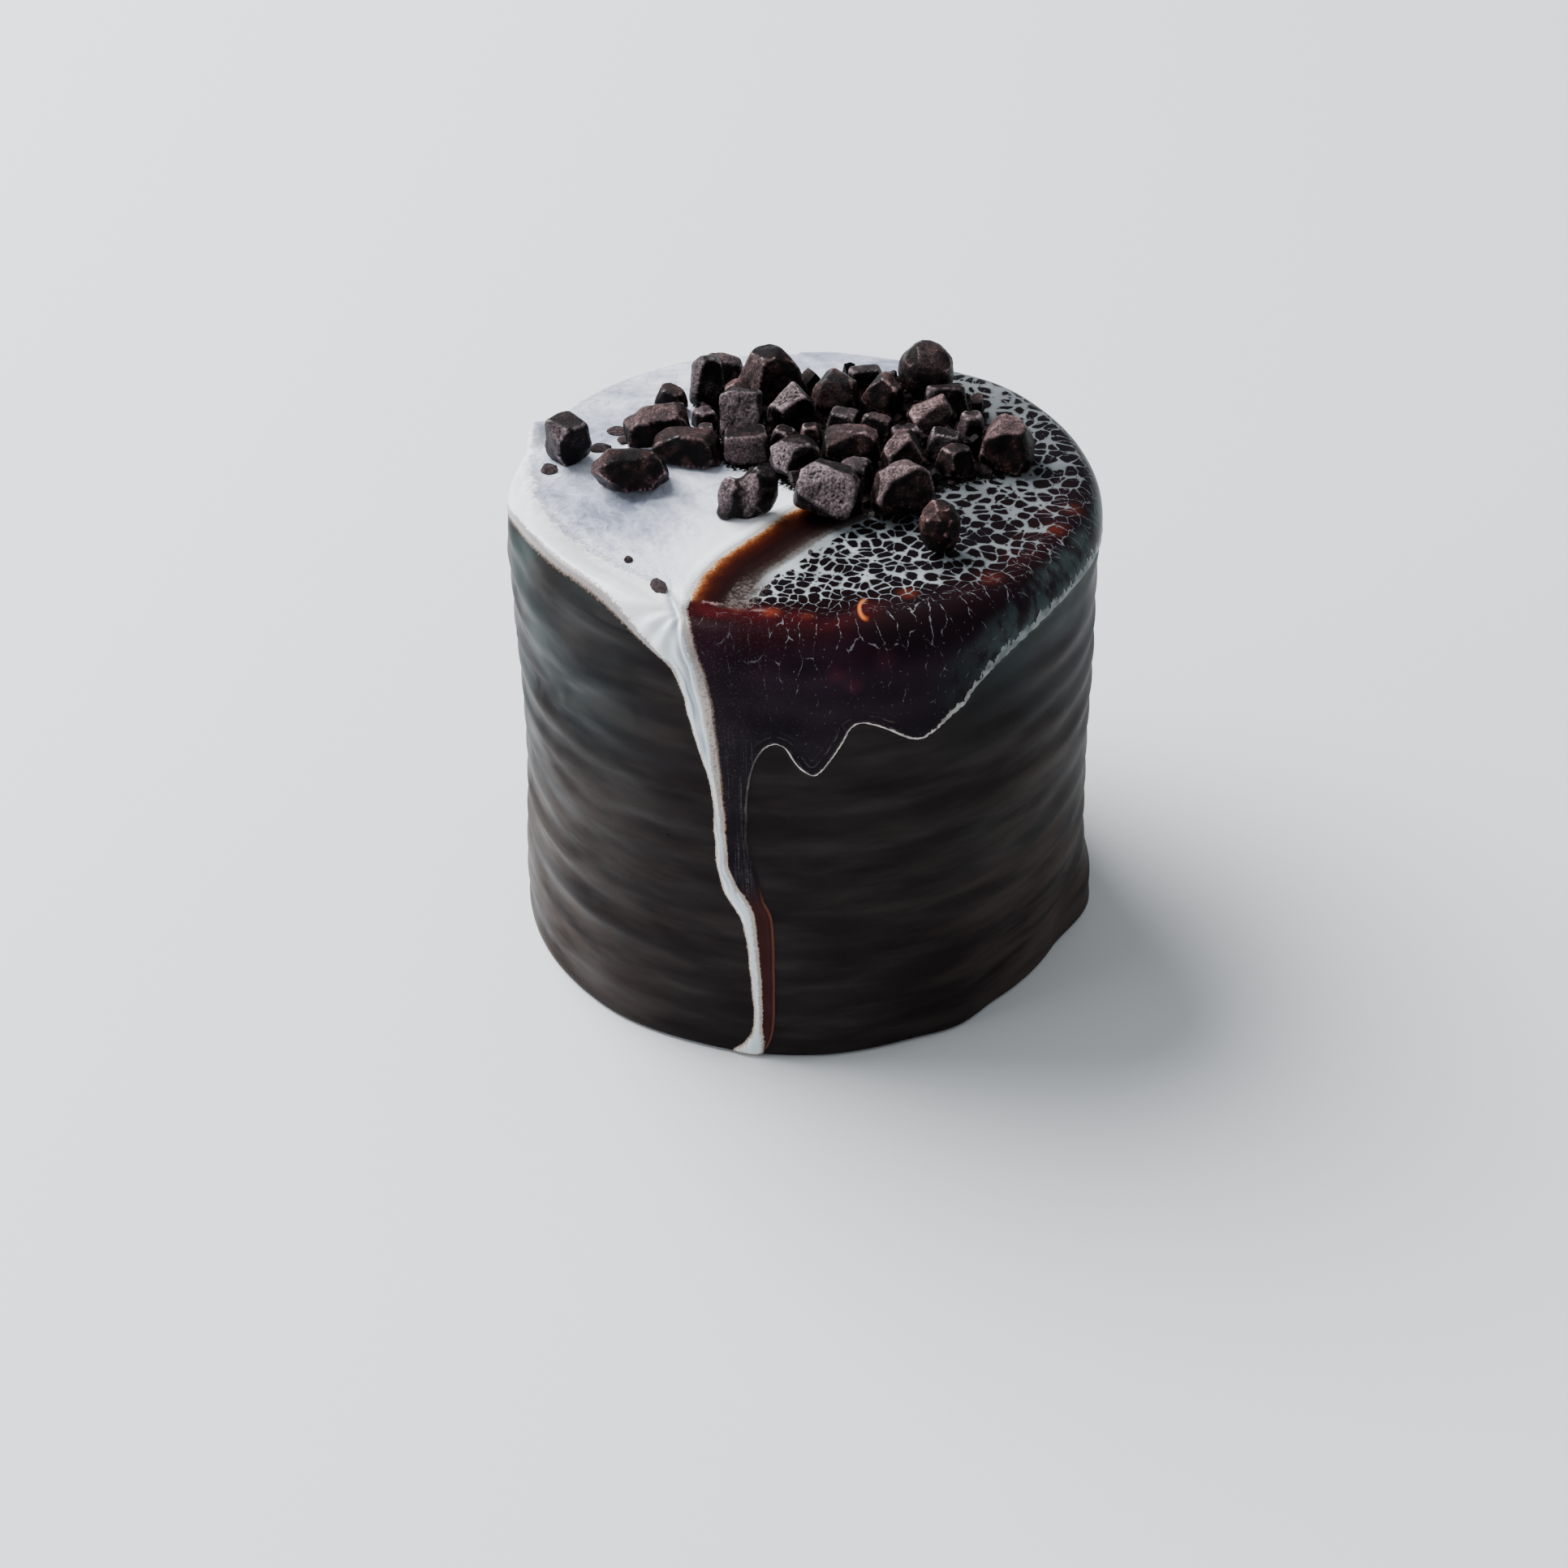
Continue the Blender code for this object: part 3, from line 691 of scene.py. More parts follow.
topping_points = []
topping_faces = []
for node in TOPPING_NODES:
    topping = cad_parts[node].data
    first = len(topping_points)
    topping_points += [vertex.co / MM for vertex in topping.vertices]
    topping_faces += [[first + index for index in face.vertices] for face in topping.polygons]
topping_tree = BVHTree.FromPolygons(topping_points, topping_faces)
creep = np.zeros(len(station))
for index in np.flatnonzero(station < FLAT_RADIUS):
    found = topping_tree.find_nearest(Vector(base_points[index]), CREEP_REACH)
    if found[0] is not None:
        creep[index] = float(ease(1.0 - found[3] / CREEP_REACH))
relief = relief + CREEP_HEIGHT * creep
print("vertices that creep up a piece:", int(np.sum(creep > 0)))

# %% Pushing the relief out and storing the layout
lean = np.where(above_shoulder < 0.0, math.pi / 2, np.where(past_flat < 0.0, 0.0, rim_angle))
outwards = base_points * np.array((1.0, 1.0, 0.0)) / np.maximum(base_radius, 1e-6)[:, None]
push = outwards * np.sin(lean)[:, None] + np.array((0.0, 0.0, 1.0)) * np.cos(lean)[:, None]
relief[base_points[:, 2] < 0.01] = 0.0
write_points(skin.data, (base_points + push * relief[:, None]) * MM)

for name, values in (
    ("white_edge", white_edge),
    ("film_edge", film_edge),
    ("heap_edge", heap_edge),
    ("streak_edge", streak_edge),
    ("streak_across", streak_across),
    ("openness", openness),
    ("lip_edge", lip_edge),
    ("net_end", net_end),
    ("veil", veil),
    ("sand_reach", sand_reach),
    ("furrow", furrow),
    ("milk", milk),
    ("shine", shine),
    ("teal_reflection", teal_reflection),
    ("brown", brown),
    ("station", station),
    ("bearing", bearing),
):
    store(skin.data, name, values)
store_vector(skin.data, "lace_place", lace_place)
store_vector(skin.data, "pour_place", pour_place)
store_vector(skin.data, "film_place", film_place)
store_vector(skin.data, "drip_place", drip_place)
deselect_all()
skin.select_set(True)
bpy.context.view_layer.objects.active = skin
bpy.ops.object.shade_smooth()
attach(skin, "root")
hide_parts(CAKE_NODE)
print("skin triangles:", sum(len(face.vertices) - 2 for face in skin.data.polygons))

# %% [markdown]
# Building materials. A material is a small sum: numbers from the mesh and from noise go in,
# and a colour, a roughness and a height come out. Wiring nodes by hand takes many lines for
# each, so a few short helpers add a node, set its values and give back the output.


# %% Node helpers
def put(tree, kind, settings=None, **inputs):
    """Add a node, set its options, and wire or set its inputs by name."""
    added = tree.nodes.new(kind)
    for option, value in (settings or {}).items():
        setattr(added, option, value)
    for name, value in inputs.items():
        connect(tree, value, added.inputs[name.replace("_", " ")])
    return added


def connect(tree, value, socket):
    if isinstance(value, bpy.types.NodeSocket):
        tree.links.new(value, socket)
    else:
        socket.default_value = value


def calc(tree, operation, first, second=0.0, third=0.0):
    added = tree.nodes.new("ShaderNodeMath")
    added.operation = operation
    for socket, value in zip(added.inputs, (first, second, third)):
        connect(tree, value, socket)
    return added.outputs[0]


def times(tree, first, *others):
    for other in others:
        first = calc(tree, "MULTIPLY", first, other)
    return first


def step_between(tree, value, low, high):
    """0 below low and 1 above high, smooth in between; low may be above high."""
    settings = {"interpolation_type": "SMOOTHSTEP"}
    added = put(tree, "ShaderNodeMapRange", settings, Value=value)
    connect(tree, low, added.inputs["From Min"])
    connect(tree, high, added.inputs["From Max"])
    return added.outputs["Result"]


def between(tree, value, rise, fall):
    """0 outside and 1 in the middle: it rises over one pair of values and falls over another."""
    return times(tree, step_between(tree, value, *rise), step_between(tree, value, *fall))


def frayed(tree, value, grain, amount):
    """The value, moved to and fro by the grain, so that what it cuts out has a rough edge."""
    return calc(tree, "MULTIPLY_ADD", calc(tree, "SUBTRACT", grain, 0.5), amount, value)


def off_from(tree, value, middle):
    """How far a value is from a middle one, either way."""
    return calc(tree, "ABSOLUTE", calc(tree, "SUBTRACT", value, middle))


def blend_color(tree, share, first, second):
    added = tree.nodes.new("ShaderNodeMix")
    added.data_type = "RGBA"
    connect(tree, share, added.inputs["Factor"])
    for name, value in (("A", first), ("B", second)):
        socket = next(s for s in added.inputs if s.name == name and s.type == "RGBA")
        connect(tree, (*value, 1.0) if isinstance(value, tuple) else value, socket)
    return next(s for s in added.outputs if s.type == "RGBA")


def blend_value(tree, share, first, second):
    added = tree.nodes.new("ShaderNodeMix")
    connect(tree, share, added.inputs["Factor"])
    for name, value in (("A", first), ("B", second)):
        socket = next(s for s in added.inputs if s.name == name and s.type == "VALUE")
        connect(tree, value, socket)
    return next(s for s in added.outputs if s.type == "VALUE")


def color_ramp(tree, value, stops):
    """A ramp through (place, colour) stops."""
    added = put(tree, "ShaderNodeValToRGB", None, Fac=value)
    elements = added.color_ramp.elements
    while len(elements) < len(stops):
        elements.new(0.5)
    for element, (place, color) in zip(elements, stops):
        element.position = place
        element.color = (*color, 1.0)
    return added.outputs["Color"]


def field(tree, name):
    """A number that the mesh stores on its vertices."""
    return put(tree, "ShaderNodeAttribute", {"attribute_name": name}).outputs["Fac"]


def field_vector(tree, name):
    return put(tree, "ShaderNodeAttribute", {"attribute_name": name}).outputs["Vector"]


def stretched(tree, vector, stretch):
    return put(tree, "ShaderNodeMapping", None, Vector=vector, Scale=stretch).outputs[0]


def noise_value(tree, vector, scale, detail=2.0, roughness=0.5, stretch=None):
    """Noise in patterns per metre, or per unit of the vector that it reads."""
    if stretch:
        vector = stretched(tree, vector, stretch)
    added = put(tree, "ShaderNodeTexNoise", None, Vector=vector, Scale=scale)
    added.inputs["Detail"].default_value = detail
    added.inputs["Roughness"].default_value = roughness
    return added.outputs["Fac"]


def shaken(tree, vector, scale, amount):
    """The vector, moved to and fro by noise, so that what reads it gets wavering lines."""
    shift = put(tree, "ShaderNodeTexNoise", None, Vector=vector, Scale=scale).outputs["Color"]
    centred = put(tree, "ShaderNodeVectorMath", {"operation": "SUBTRACT"})
    connect(tree, shift, centred.inputs[0])
    centred.inputs[1].default_value = (0.5, 0.5, 0.5)
    moved = put(tree, "ShaderNodeVectorMath", {"operation": "MULTIPLY_ADD"})
    connect(tree, centred.outputs[0], moved.inputs[0])
    moved.inputs[1].default_value = amount
    connect(tree, vector, moved.inputs[2])
    return moved.outputs[0]


def add_bump(tree, shader, height, distance, strength):
    """Fine relief that is too small for the mesh."""
    settings = {"Distance": distance, "Strength": strength}
    relief_node = put(tree, "ShaderNodeBump", None, Height=height, **settings)
    tree.links.new(relief_node.outputs["Normal"], shader.inputs["Normal"])


def object_place(tree):
    return put(tree, "ShaderNodeTexCoord").outputs["Object"]


# %% [markdown]
# Grain. Chocolate, crumbs and the edge of a glaze all show the same fine grain: small light
# and dark grains on a soft mottle. An effect that more than one material needs is one node
# group with named sockets, so a change in one place reaches them all.

# %% Grain group
GRAIN_SIZE = 0.35 * MM
MOTTLE_SIZE = 2.2 * MM


def make_grain_group():
    group = bpy.data.node_groups.new("grain", "ShaderNodeTree")
    size = group.interface.new_socket("Size", in_out="INPUT", socket_type="NodeSocketFloat")
    size.default_value = 1.0
    group.interface.new_socket("Grain", in_out="OUTPUT", socket_type="NodeSocketFloat")
    group.interface.new_socket("Mottle", in_out="OUTPUT", socket_type="NodeSocketFloat")
    entry = group.nodes.new("NodeGroupInput")
    result = group.nodes.new("NodeGroupOutput")
    place = object_place(group)
    for output, pattern, detail in (("Grain", GRAIN_SIZE, 3.0), ("Mottle", MOTTLE_SIZE, 2.0)):
        scale = calc(group, "DIVIDE", 1.0, calc(group, "MULTIPLY", entry.outputs["Size"], pattern))
        grains = noise_value(group, place, 1.0, detail, 0.6)
        group.links.new(scale, grains.node.inputs["Scale"])
        group.links.new(grains, result.inputs[output])
    return group


grain_group = make_grain_group()


def add_grain(tree, size):
    added = tree.nodes.new("ShaderNodeGroup")
    added.node_tree = grain_group
    added.inputs["Size"].default_value = size
    return added.outputs["Grain"], added.outputs["Mottle"]


print("grain group sockets:", [item.name for item in grain_group.interface.items_tree])

# %% [markdown]
# The skin's material. From below to the top of the layers: the dark cake with its satin side, which
# carries painted sheen and reflections, the dark film that glows red at the rim and is almost black
# below it, the white lace that thins out as it runs down, cocoa and the amber streak, the white
# pour with its drip, and the dark ground under the heap, which is chocolate dust and painted shade.
# Each layer is one short function that gives a colour or a mask, so each can be understood and
# changed alone.
#
# It could be one picture wrapped round the cake, but a picture blurs near by and shows where
# its ends meet. Distances and noise stay sharp at any size. The side reads object
# coordinates, so it has no seam at the back.

# %% Colours of the side and of the film
SIDE_DARK = (0.0115, 0.0086, 0.0092)
SIDE_SHEEN = (0.028, 0.022, 0.021)
SIDE_BROWN_REFLECTION = (0.046, 0.034, 0.029)
SIDE_TEAL_REFLECTION = (0.0185, 0.0325, 0.0325)
FILM_STOPS = (
    (0.00, (0.0042, 0.0020, 0.0024)),
    (0.22, (0.0062, 0.0020, 0.0026)),
    (0.37, (0.0165, 0.0025, 0.0038)),
    (0.46, (0.0125, 0.0034, 0.0050)),
    (0.58, (0.0180, 0.0076, 0.0136)),
    (0.75, (0.0190, 0.0104, 0.0172)),
    (1.00, (0.0145, 0.0104, 0.0140)),
)
FILM_START = 22.0
FILM_END = 46.0
FILM_DARK = (0.0060, 0.0048, 0.0060)
STRIP_BROWN = (0.034, 0.011, 0.011)
STRIP_EDGE = (0.150, 0.058, 0.040)
GLOW = (0.056, 0.0050, 0.0062)
VEIL = (0.030, 0.043, 0.045)
EMBER = (0.20, 0.030, 0.012)
PLUM = (0.045, 0.010, 0.018)
EMBER_SPOTS = ((-3.7, -28.7, 60.0, 1.6, 0.55), (0.3, -29.5, 60.0, 1.3, 0.20),
               (-7.4, -28.0, 60.0, 1.3, 0.18), (11.3, -25.3, 60.0, 1.7, 0.34),
               (20.6, -22.4, 60.0, 2.2, 0.20), (28.6, -12.8, 59.9, 2.2, 0.22),
               (31.0, -8.5, 59.7, 2.0, 0.20))
PLUM_SPOTS = ((3.4, -35.0, 56.0, 1.9, 0.6), (5.2, -34.8, 54.4, 1.6, 0.7),
              (8.6, -33.9, 57.0, 1.8, 0.5))
CRESCENT = (6.75, -28.5, 60.0)
CRESCENT_RADII = (0.85, 1.95)
CRESCENT_THICKNESS = 0.36
CRESCENT_BRIGHT = (0.50, 0.125, 0.030)
CRESCENT_GLOW_REACH = 2.4
PINHOLE_SHADE = (0.002, 0.001, 0.001)
PINHOLE_SCALE = 130.0
PINHOLE_RADII = (0.030, 0.016)
PINHOLE_CHANCES = (0.80, 0.81)
RIM_GLOW_STATION = 30.0
RIM_GLOW_REACH = (3.4, 0.6)
MOUTH_GLOW_BEARINGS = (4.0, -12.0)
MOUTH_GLOW_ROWS = ((27.0, 29.0), (32.5, 29.5))
FILM_DARK_RIGHT = (6.0, 32.0)
FILM_DARK_BACK = (74.0, 96.0)
STRIP_START = (66.0, 71.0)
STRIP_EDGE_WIDTH = (0.34, 0.10)


# %% [markdown]
# The side is a dark satin. Paler bands along its ripples are painted sheen, and a teal cast near
# the top and a brown one lower down are painted reflections. The film is thin at the rim, so light
# shines red through it there, with a few ember spots and one bright crescent round a bubble, and
# plum spots below. A thin teal veil covers its right part. A ramp along the station gives the
# change from red to black, and single spots are laid over it by their distance from a point,
# because noise alone would put them anywhere.

# %% Side and film
def pinholes(tree, place):
    """A few tiny holes where bubbles burst on the side, painted dark: painted shade inside the
    holes.
    """
    cell = put(tree, "ShaderNodeTexVoronoi", None, Vector=place, Scale=PINHOLE_SCALE)
    chance = put(tree, "ShaderNodeSeparateColor", None, Color=cell.outputs["Color"])
    kept = step_between(tree, chance.outputs["Red"], *PINHOLE_CHANCES)
    return times(tree, step_between(tree, cell.outputs["Distance"], *PINHOLE_RADII), kept)


def side_color(tree, place):
    """Dark side, with painted sheen bands along the ripples, a painted teal reflection and a
    painted brown one lower down.
    """
    # Paler bands along the ripples: painted sheen.
    sheen_bands = noise_value(tree, place, 60.0, 3.0, 0.55, (1.0, 1.0, 5.0))
    color = blend_color(tree, step_between(tree, sheen_bands, 0.40, 0.80), SIDE_DARK, SIDE_SHEEN)
    # A painted warm brown reflection low on the side, stronger on the sheen bands.
    brown = times(tree, field(tree, "brown"), step_between(tree, sheen_bands, 0.30, 0.66))
    color = blend_color(tree, brown, color, SIDE_BROWN_REFLECTION)
    # A painted teal reflection near the top of the side.
    reflection_patches = step_between(tree, noise_value(tree, place, 40.0, 2.0, 0.5), 0.34, 0.62)
    color = blend_color(tree, times(tree, field(tree, "teal_reflection"), reflection_patches), color, SIDE_TEAL_REFLECTION)
    return blend_color(tree, pinholes(tree, place), color, PINHOLE_SHADE)


def distance_to(tree, place, point):
    gap = put(tree, "ShaderNodeVectorMath", {"operation": "DISTANCE"})
    connect(tree, place, gap.inputs[0])
    gap.inputs[1].default_value = point
    return gap.outputs["Value"]


def near_spot(tree, place, x, y, z, reach):
    return step_between(tree, distance_to(tree, place, (x * MM, y * MM, z * MM)), reach * MM, 0.0)


def crescent_mask(tree, place):
    """A bright half ring, where light is caught round a bubble under the film."""
    x, y, z = CRESCENT
    across, along_flow = CRESCENT_RADII
    scaled = stretched(tree, place, (1.0 / (across * MM), 1.0 / (along_flow * MM), 0.0))
    gap = distance_to(tree, scaled, (x / across, y / along_flow, 0.0))
    ring = step_between(tree, off_from(tree, gap, 1.0), CRESCENT_THICKNESS, 0.0)
    split = put(tree, "ShaderNodeSeparateXYZ", None, Vector=place)
    lit_side = step_between(tree, split.outputs["X"], (x + 0.3) * MM, (x - 0.7) * MM)
    above_foot = step_between(tree, split.outputs["Z"], (z - 2.5) * MM, (z - 1.0) * MM)
    return times(tree, ring, lit_side, above_foot)


def film_color(tree, place):
    """Red glow at the front rim, purple black below it, a teal veil at the right edge."""
    level = field(tree, "station")
    wander = calc(tree, "MULTIPLY_ADD", noise_value(tree, place, 150.0, 2.0, 0.6), 5.0, -2.5)
    share = calc(tree, "SUBTRACT", calc(tree, "ADD", level, wander), FILM_START)
    color = color_ramp(tree, calc(tree, "DIVIDE", share, FILM_END - FILM_START), FILM_STOPS)
    patches = step_between(tree, noise_value(tree, place, 210.0, 1.0, 0.4), 0.54, 0.72)
    off_rim = off_from(tree, level, RIM_GLOW_STATION)
    glow = times(tree, patches, step_between(tree, off_rim, *RIM_GLOW_REACH))
    color = blend_color(tree, times(tree, glow, 0.45), color, GLOW)
    dim = step_between(tree, noise_value(tree, place, 95.0, 2.0, 0.5), 0.42, 0.62)
    color = blend_color(tree, times(tree, dim, 0.6), color, FILM_DARK)
    heading = field(tree, "bearing")
    at_mouth = step_between(tree, heading, *MOUTH_GLOW_BEARINGS)
    band = between(tree, level, *MOUTH_GLOW_ROWS)
    color = blend_color(tree, times(tree, at_mouth, band, 0.26), color, GLOW)
    to_the_right = step_between(tree, heading, *FILM_DARK_RIGHT)
    color = blend_color(tree, times(tree, to_the_right, 0.55), color, FILM_DARK)
    turned_away = step_between(tree, calc(tree, "ABSOLUTE", heading), *FILM_DARK_BACK)
    color = blend_color(tree, turned_away, color, FILM_DARK)
    for tone, spots in ((EMBER, EMBER_SPOTS), (PLUM, PLUM_SPOTS)):
        for x, y, z, reach, strength in spots:
            spot = times(tree, near_spot(tree, place, x, y, z, reach), strength)
            color = blend_color(tree, spot, color, tone)
    crescent_glow = near_spot(tree, place, *CRESCENT, CRESCENT_GLOW_REACH)
    color = blend_color(tree, times(tree, crescent_glow, 0.40), color, GLOW)
    color = blend_color(tree, crescent_mask(tree, place), color, CRESCENT_BRIGHT)
    cloud = noise_value(tree, field_vector(tree, "film_place"), 0.30, 3.0, 0.55, (1.6, 0.8, 1.0))
    veil = times(tree, field(tree, "veil"), step_between(tree, cloud, 0.36, 0.56))
    color = blend_color(tree, veil, color, VEIL)
    low = step_between(tree, level, *STRIP_START)
    color = blend_color(tree, low, color, STRIP_BROWN)
    rim = times(tree, low, step_between(tree, field(tree, "film_edge"), *STRIP_EDGE_WIDTH))
    return blend_color(tree, rim, color, STRIP_EDGE)


# %% [markdown]
# The lace is what is left of a thin white pour after the fatty film below it has pulled it
# open into cells. A cell pattern gives the distance to the nearest line, and a line is drawn
# where that distance is below a width. The width changes over the cake: closed near the
# streak, open in front, thin below the rim. Round holes and a few dots are mixed in, because
# plain cells would look like cracked mud.

# %% Lace
LACE_WHITE = (0.37, 0.41, 0.425)
LACE_SHADE = (0.085, 0.093, 0.098)
THREAD_GREY = (0.150, 0.150, 0.165)
HEM_CREAM = (0.70, 0.66, 0.60)
HEM_GREY = (0.205, 0.225, 0.228)
NET_THINNING = (-0.8, 3.4)
NET_FINE_RIGHT = (20.0, 60.0)
NET_CLOSED_EDGE = (0.12, 0.02)
NET_CLOSED_ROWS = (25.5, 19.0)
SMALL_CELL_SCALE = 2.3


def cell_parts(tree, place, scale, features):
    """Distances of a flat cell pattern, and two random numbers for each cell."""
    found = {}
    for feature in features:
        settings = {"voronoi_dimensions": "2D", "feature": feature}
        added = put(tree, "ShaderNodeTexVoronoi", settings, Vector=place, Scale=scale)
        found[feature] = added.outputs["Distance"]
        if feature == "F1":
            chance = put(tree, "ShaderNodeSeparateColor", None, Color=added.outputs["Color"])
            found["chance"] = chance.outputs["Red"]
            found["second_chance"] = chance.outputs["Green"]
    return found


def net_depth(tree):
    """How deep a point lies inside a line of the lace: above 0 on a line, below it in a hole."""
    broad = shaken(tree, field_vector(tree, "lace_place"), 0.30, (1.6, 1.6, 0.0))
    place = shaken(tree, broad, 1.9, (0.34, 0.34, 0.0))
    cells = cell_parts(tree, place, 1.0, ("F1", "DISTANCE_TO_EDGE"))
    opened = field(tree, "openness")
    level = field(tree, "station")
    past_net = calc(tree, "SUBTRACT", level, field(tree, "net_end"))
    thinning = step_between(tree, past_net, *NET_THINNING)
    thickness = noise_value(tree, broad, 0.55, 2.0, 0.5)
    uneven = calc(tree, "MULTIPLY_ADD", thickness, 0.30, -0.15)
    uneven = calc(tree, "MULTIPLY_ADD", cells["chance"], 0.10, calc(tree, "SUBTRACT", uneven, 0.05))
    on_right = step_between(tree, field(tree, "bearing"), *NET_FINE_RIGHT)
    open_width = calc(tree, "MULTIPLY_ADD", on_right, -0.046, 0.086)
    half_width = calc(tree, "ADD", blend_value(tree, opened, 0.27, open_width), uneven)
    breaks = noise_value(tree, broad, 2.2, 2.0, 0.6)
    thin_width = calc(tree, "MULTIPLY_ADD", breaks, 0.22, -0.092)
    half_width = blend_value(tree, thinning, half_width, thin_width)
    closed = step_between(tree, opened, *NET_CLOSED_EDGE)
    closed = times(tree, closed, step_between(tree, level, *NET_CLOSED_ROWS))
    half_width = calc(tree, "MULTIPLY_ADD", closed, 1.2, half_width)
    from_edge = calc(tree, "SUBTRACT", cells["DISTANCE_TO_EDGE"], half_width)
    radius = blend_value(tree, opened, 0.34, 0.46)
    radius = calc(tree, "MULTIPLY_ADD", cells["second_chance"], 0.20, radius)
    radius = calc(tree, "ADD", radius, times(tree, thinning, 0.6))
    from_middle = times(tree, calc(tree, "SUBTRACT", radius, cells["F1"]), 0.8)
    hole = calc(tree, "SMOOTH_MIN", from_edge, from_middle, 0.30)
    small = cell_parts(tree, place, SMALL_CELL_SCALE, ("F1",))
    small_radius = calc(tree, "MULTIPLY_ADD", small["chance"], 0.70, -0.44)
    dot = times(tree, calc(tree, "SUBTRACT", small_radius, small["F1"]), 0.45)
    dot = calc(tree, "SUBTRACT", dot, step_between(tree, opened, 0.30, 0.05))
    return times(tree, calc(tree, "MAXIMUM", hole, dot), -1.0)


# %% [markdown]
# Below the rim the lace is drawn out into threads that break up, with fine spray beside the
# drip and grey lines on the narrow strip of film next to it. The film's own edge is a pale
# hem: one thin line in front, a broad ragged band on the right.

# %% Spray, threads and the lines on the strip
SPRAY_SCALE = 4200.0
SPRAY_ROWS = ((29.5, 31.5), (66.0, 48.0))
SPRAY_BEARINGS = (8.0, -13.0)
SPRAY_STRENGTH = 0.15
THREAD_ROWS = ((29.0, 31.0), (60.0, 50.0))
THREAD_BREAKING = (29.0, 47.0)
THREAD_FADING = (31.0, 44.0)
THREAD_BEARINGS = (-2.0, -12.0)
STRIP_ROWS = ((43.0, 50.0), (71.0, 67.0))
STRIP_BEARING = -12.5
STRIP_REACH = (3.6, 2.0)


def spray_mask(tree, place):
    """Fine pale specks on the film beside the drip."""
    specks = step_between(tree, noise_value(tree, place, SPRAY_SCALE, 3.0, 0.6), 0.55, 0.74)
    rows = between(tree, field(tree, "station"), *SPRAY_ROWS)
    beside = step_between(tree, field(tree, "bearing"), *SPRAY_BEARINGS)
    return times(tree, specks, rows, beside, SPRAY_STRENGTH)


def thread_mask(tree):
    """Below the rim the net is drawn out into thin upright threads that break up."""
    place = field_vector(tree, "film_place")
    drawn = shaken(tree, place, 0.50, (1.3, 2.4, 0.0))
    drawn = stretched(tree, drawn, (0.46, 0.17, 1.0))
    cell = cell_parts(tree, drawn, 1.0, ("DISTANCE_TO_EDGE",))
    level = field(tree, "station")
    breaking = step_between(tree, level, *THREAD_BREAKING)
    breaks = noise_value(tree, place, 0.80, 4.0, 0.70)
    width = calc(tree, "SUBTRACT", breaks, calc(tree, "MULTIPLY_ADD", breaking, 0.135, 0.455))
    inside = calc(tree, "SUBTRACT", times(tree, width, 0.19), cell["DISTANCE_TO_EDGE"])
    line = step_between(tree, inside, -0.010, 0.014)
    specks = cell_parts(tree, place, 0.95, ("F1",))
    size = calc(tree, "MULTIPLY_ADD", specks["second_chance"], 0.05, 0.02)
    dot = step_between(tree, calc(tree, "SUBTRACT", size, specks["F1"]), -0.03, 0.01)
    dot = times(tree, dot, step_between(tree, specks["chance"], 0.70, 0.74), 0.7)
    strength = blend_value(tree, step_between(tree, level, *THREAD_FADING), 1.0, 0.62)
    beside_drip = step_between(tree, field(tree, "bearing"), *THREAD_BEARINGS)
    strength = times(tree, strength, blend_value(tree, beside_drip, 1.0, 0.35))
    rows = between(tree, level, *THREAD_ROWS)
    return times(tree, calc(tree, "MAXIMUM", line, dot), strength, rows)


def strip_lines(tree, grain):
    """Fine grey upright lines between the drip and the film's edge."""
    lines = noise_value(tree, field_vector(tree, "film_place"), 1.0, 2.0, 0.6, (4.5, 0.10, 1.0))
    grains = step_between(tree, grain, 0.35, 0.65)
    lines = times(tree, step_between(tree, lines, 0.50, 0.72), grains)
    rows = between(tree, field(tree, "station"), *STRIP_ROWS)
    off_strip = off_from(tree, field(tree, "bearing"), STRIP_BEARING)
    return times(tree, lines, rows, step_between(tree, off_strip, *STRIP_REACH), 0.30)


# %% Hem of the film
HEM_BROADENS = (12.0, 44.0)
HEM_WIDTHS = (0.27, 1.15)
HEM_RAGGEDNESS = (0.35, 4.4)
HEM_ECHO_ROWS = ((0.35, 0.55), (2.2, 0.9))
HEM_ECHO_STRENGTH = 0.06
HEM_ROWS = (66.0, 50.0)
HEM_LEFT_END = (-6.3, -9.0)


def hem_mask(tree):
    """The pale edge of the film: a broad ragged band on the right, a thin line in front."""
    edge = field(tree, "film_edge")
    heading = field(tree, "bearing")
    side = step_between(tree, heading, *HEM_BROADENS)
    ragged = noise_value(tree, field_vector(tree, "film_place"), 0.9, 3.0, 0.60, (1.3, 0.7, 1.0))
    raggedness = blend_value(tree, side, *HEM_RAGGEDNESS)
    ragged = times(tree, calc(tree, "SUBTRACT", ragged, 0.48), raggedness)
    width = calc(tree, "ADD", ragged, blend_value(tree, side, *HEM_WIDTHS))
    band = step_between(tree, calc(tree, "SUBTRACT", width, edge), -0.08, 0.10)
    band = times(tree, band, step_between(tree, edge, 0.0, 0.10))
    wander = noise_value(tree, field_vector(tree, "film_place"), 0.5, 2.0, 0.5)
    waves = calc(tree, "MULTIPLY_ADD", wander, 7.0, times(tree, edge, 9.0))
    echo = step_between(tree, calc(tree, "SINE", waves), 0.55, 1.0)
    echo = times(tree, echo, between(tree, edge, *HEM_ECHO_ROWS))
    echo = times(tree, echo, step_between(tree, wander, 0.40, 0.60))
    echo = times(tree, echo, step_between(tree, side, 0.2, 0.0), HEM_ECHO_STRENGTH)
    rows = step_between(tree, field(tree, "station"), *HEM_ROWS)
    faint = blend_value(tree, step_between(tree, heading, *HEM_LEFT_END), 1.0, 0.16)
    fading = blend_value(tree, step_between(tree, wander, 0.36, 0.62), 0.45, 1.0)
    return times(tree, calc(tree, "MAXIMUM", times(tree, band, fading), echo), rows, faint)


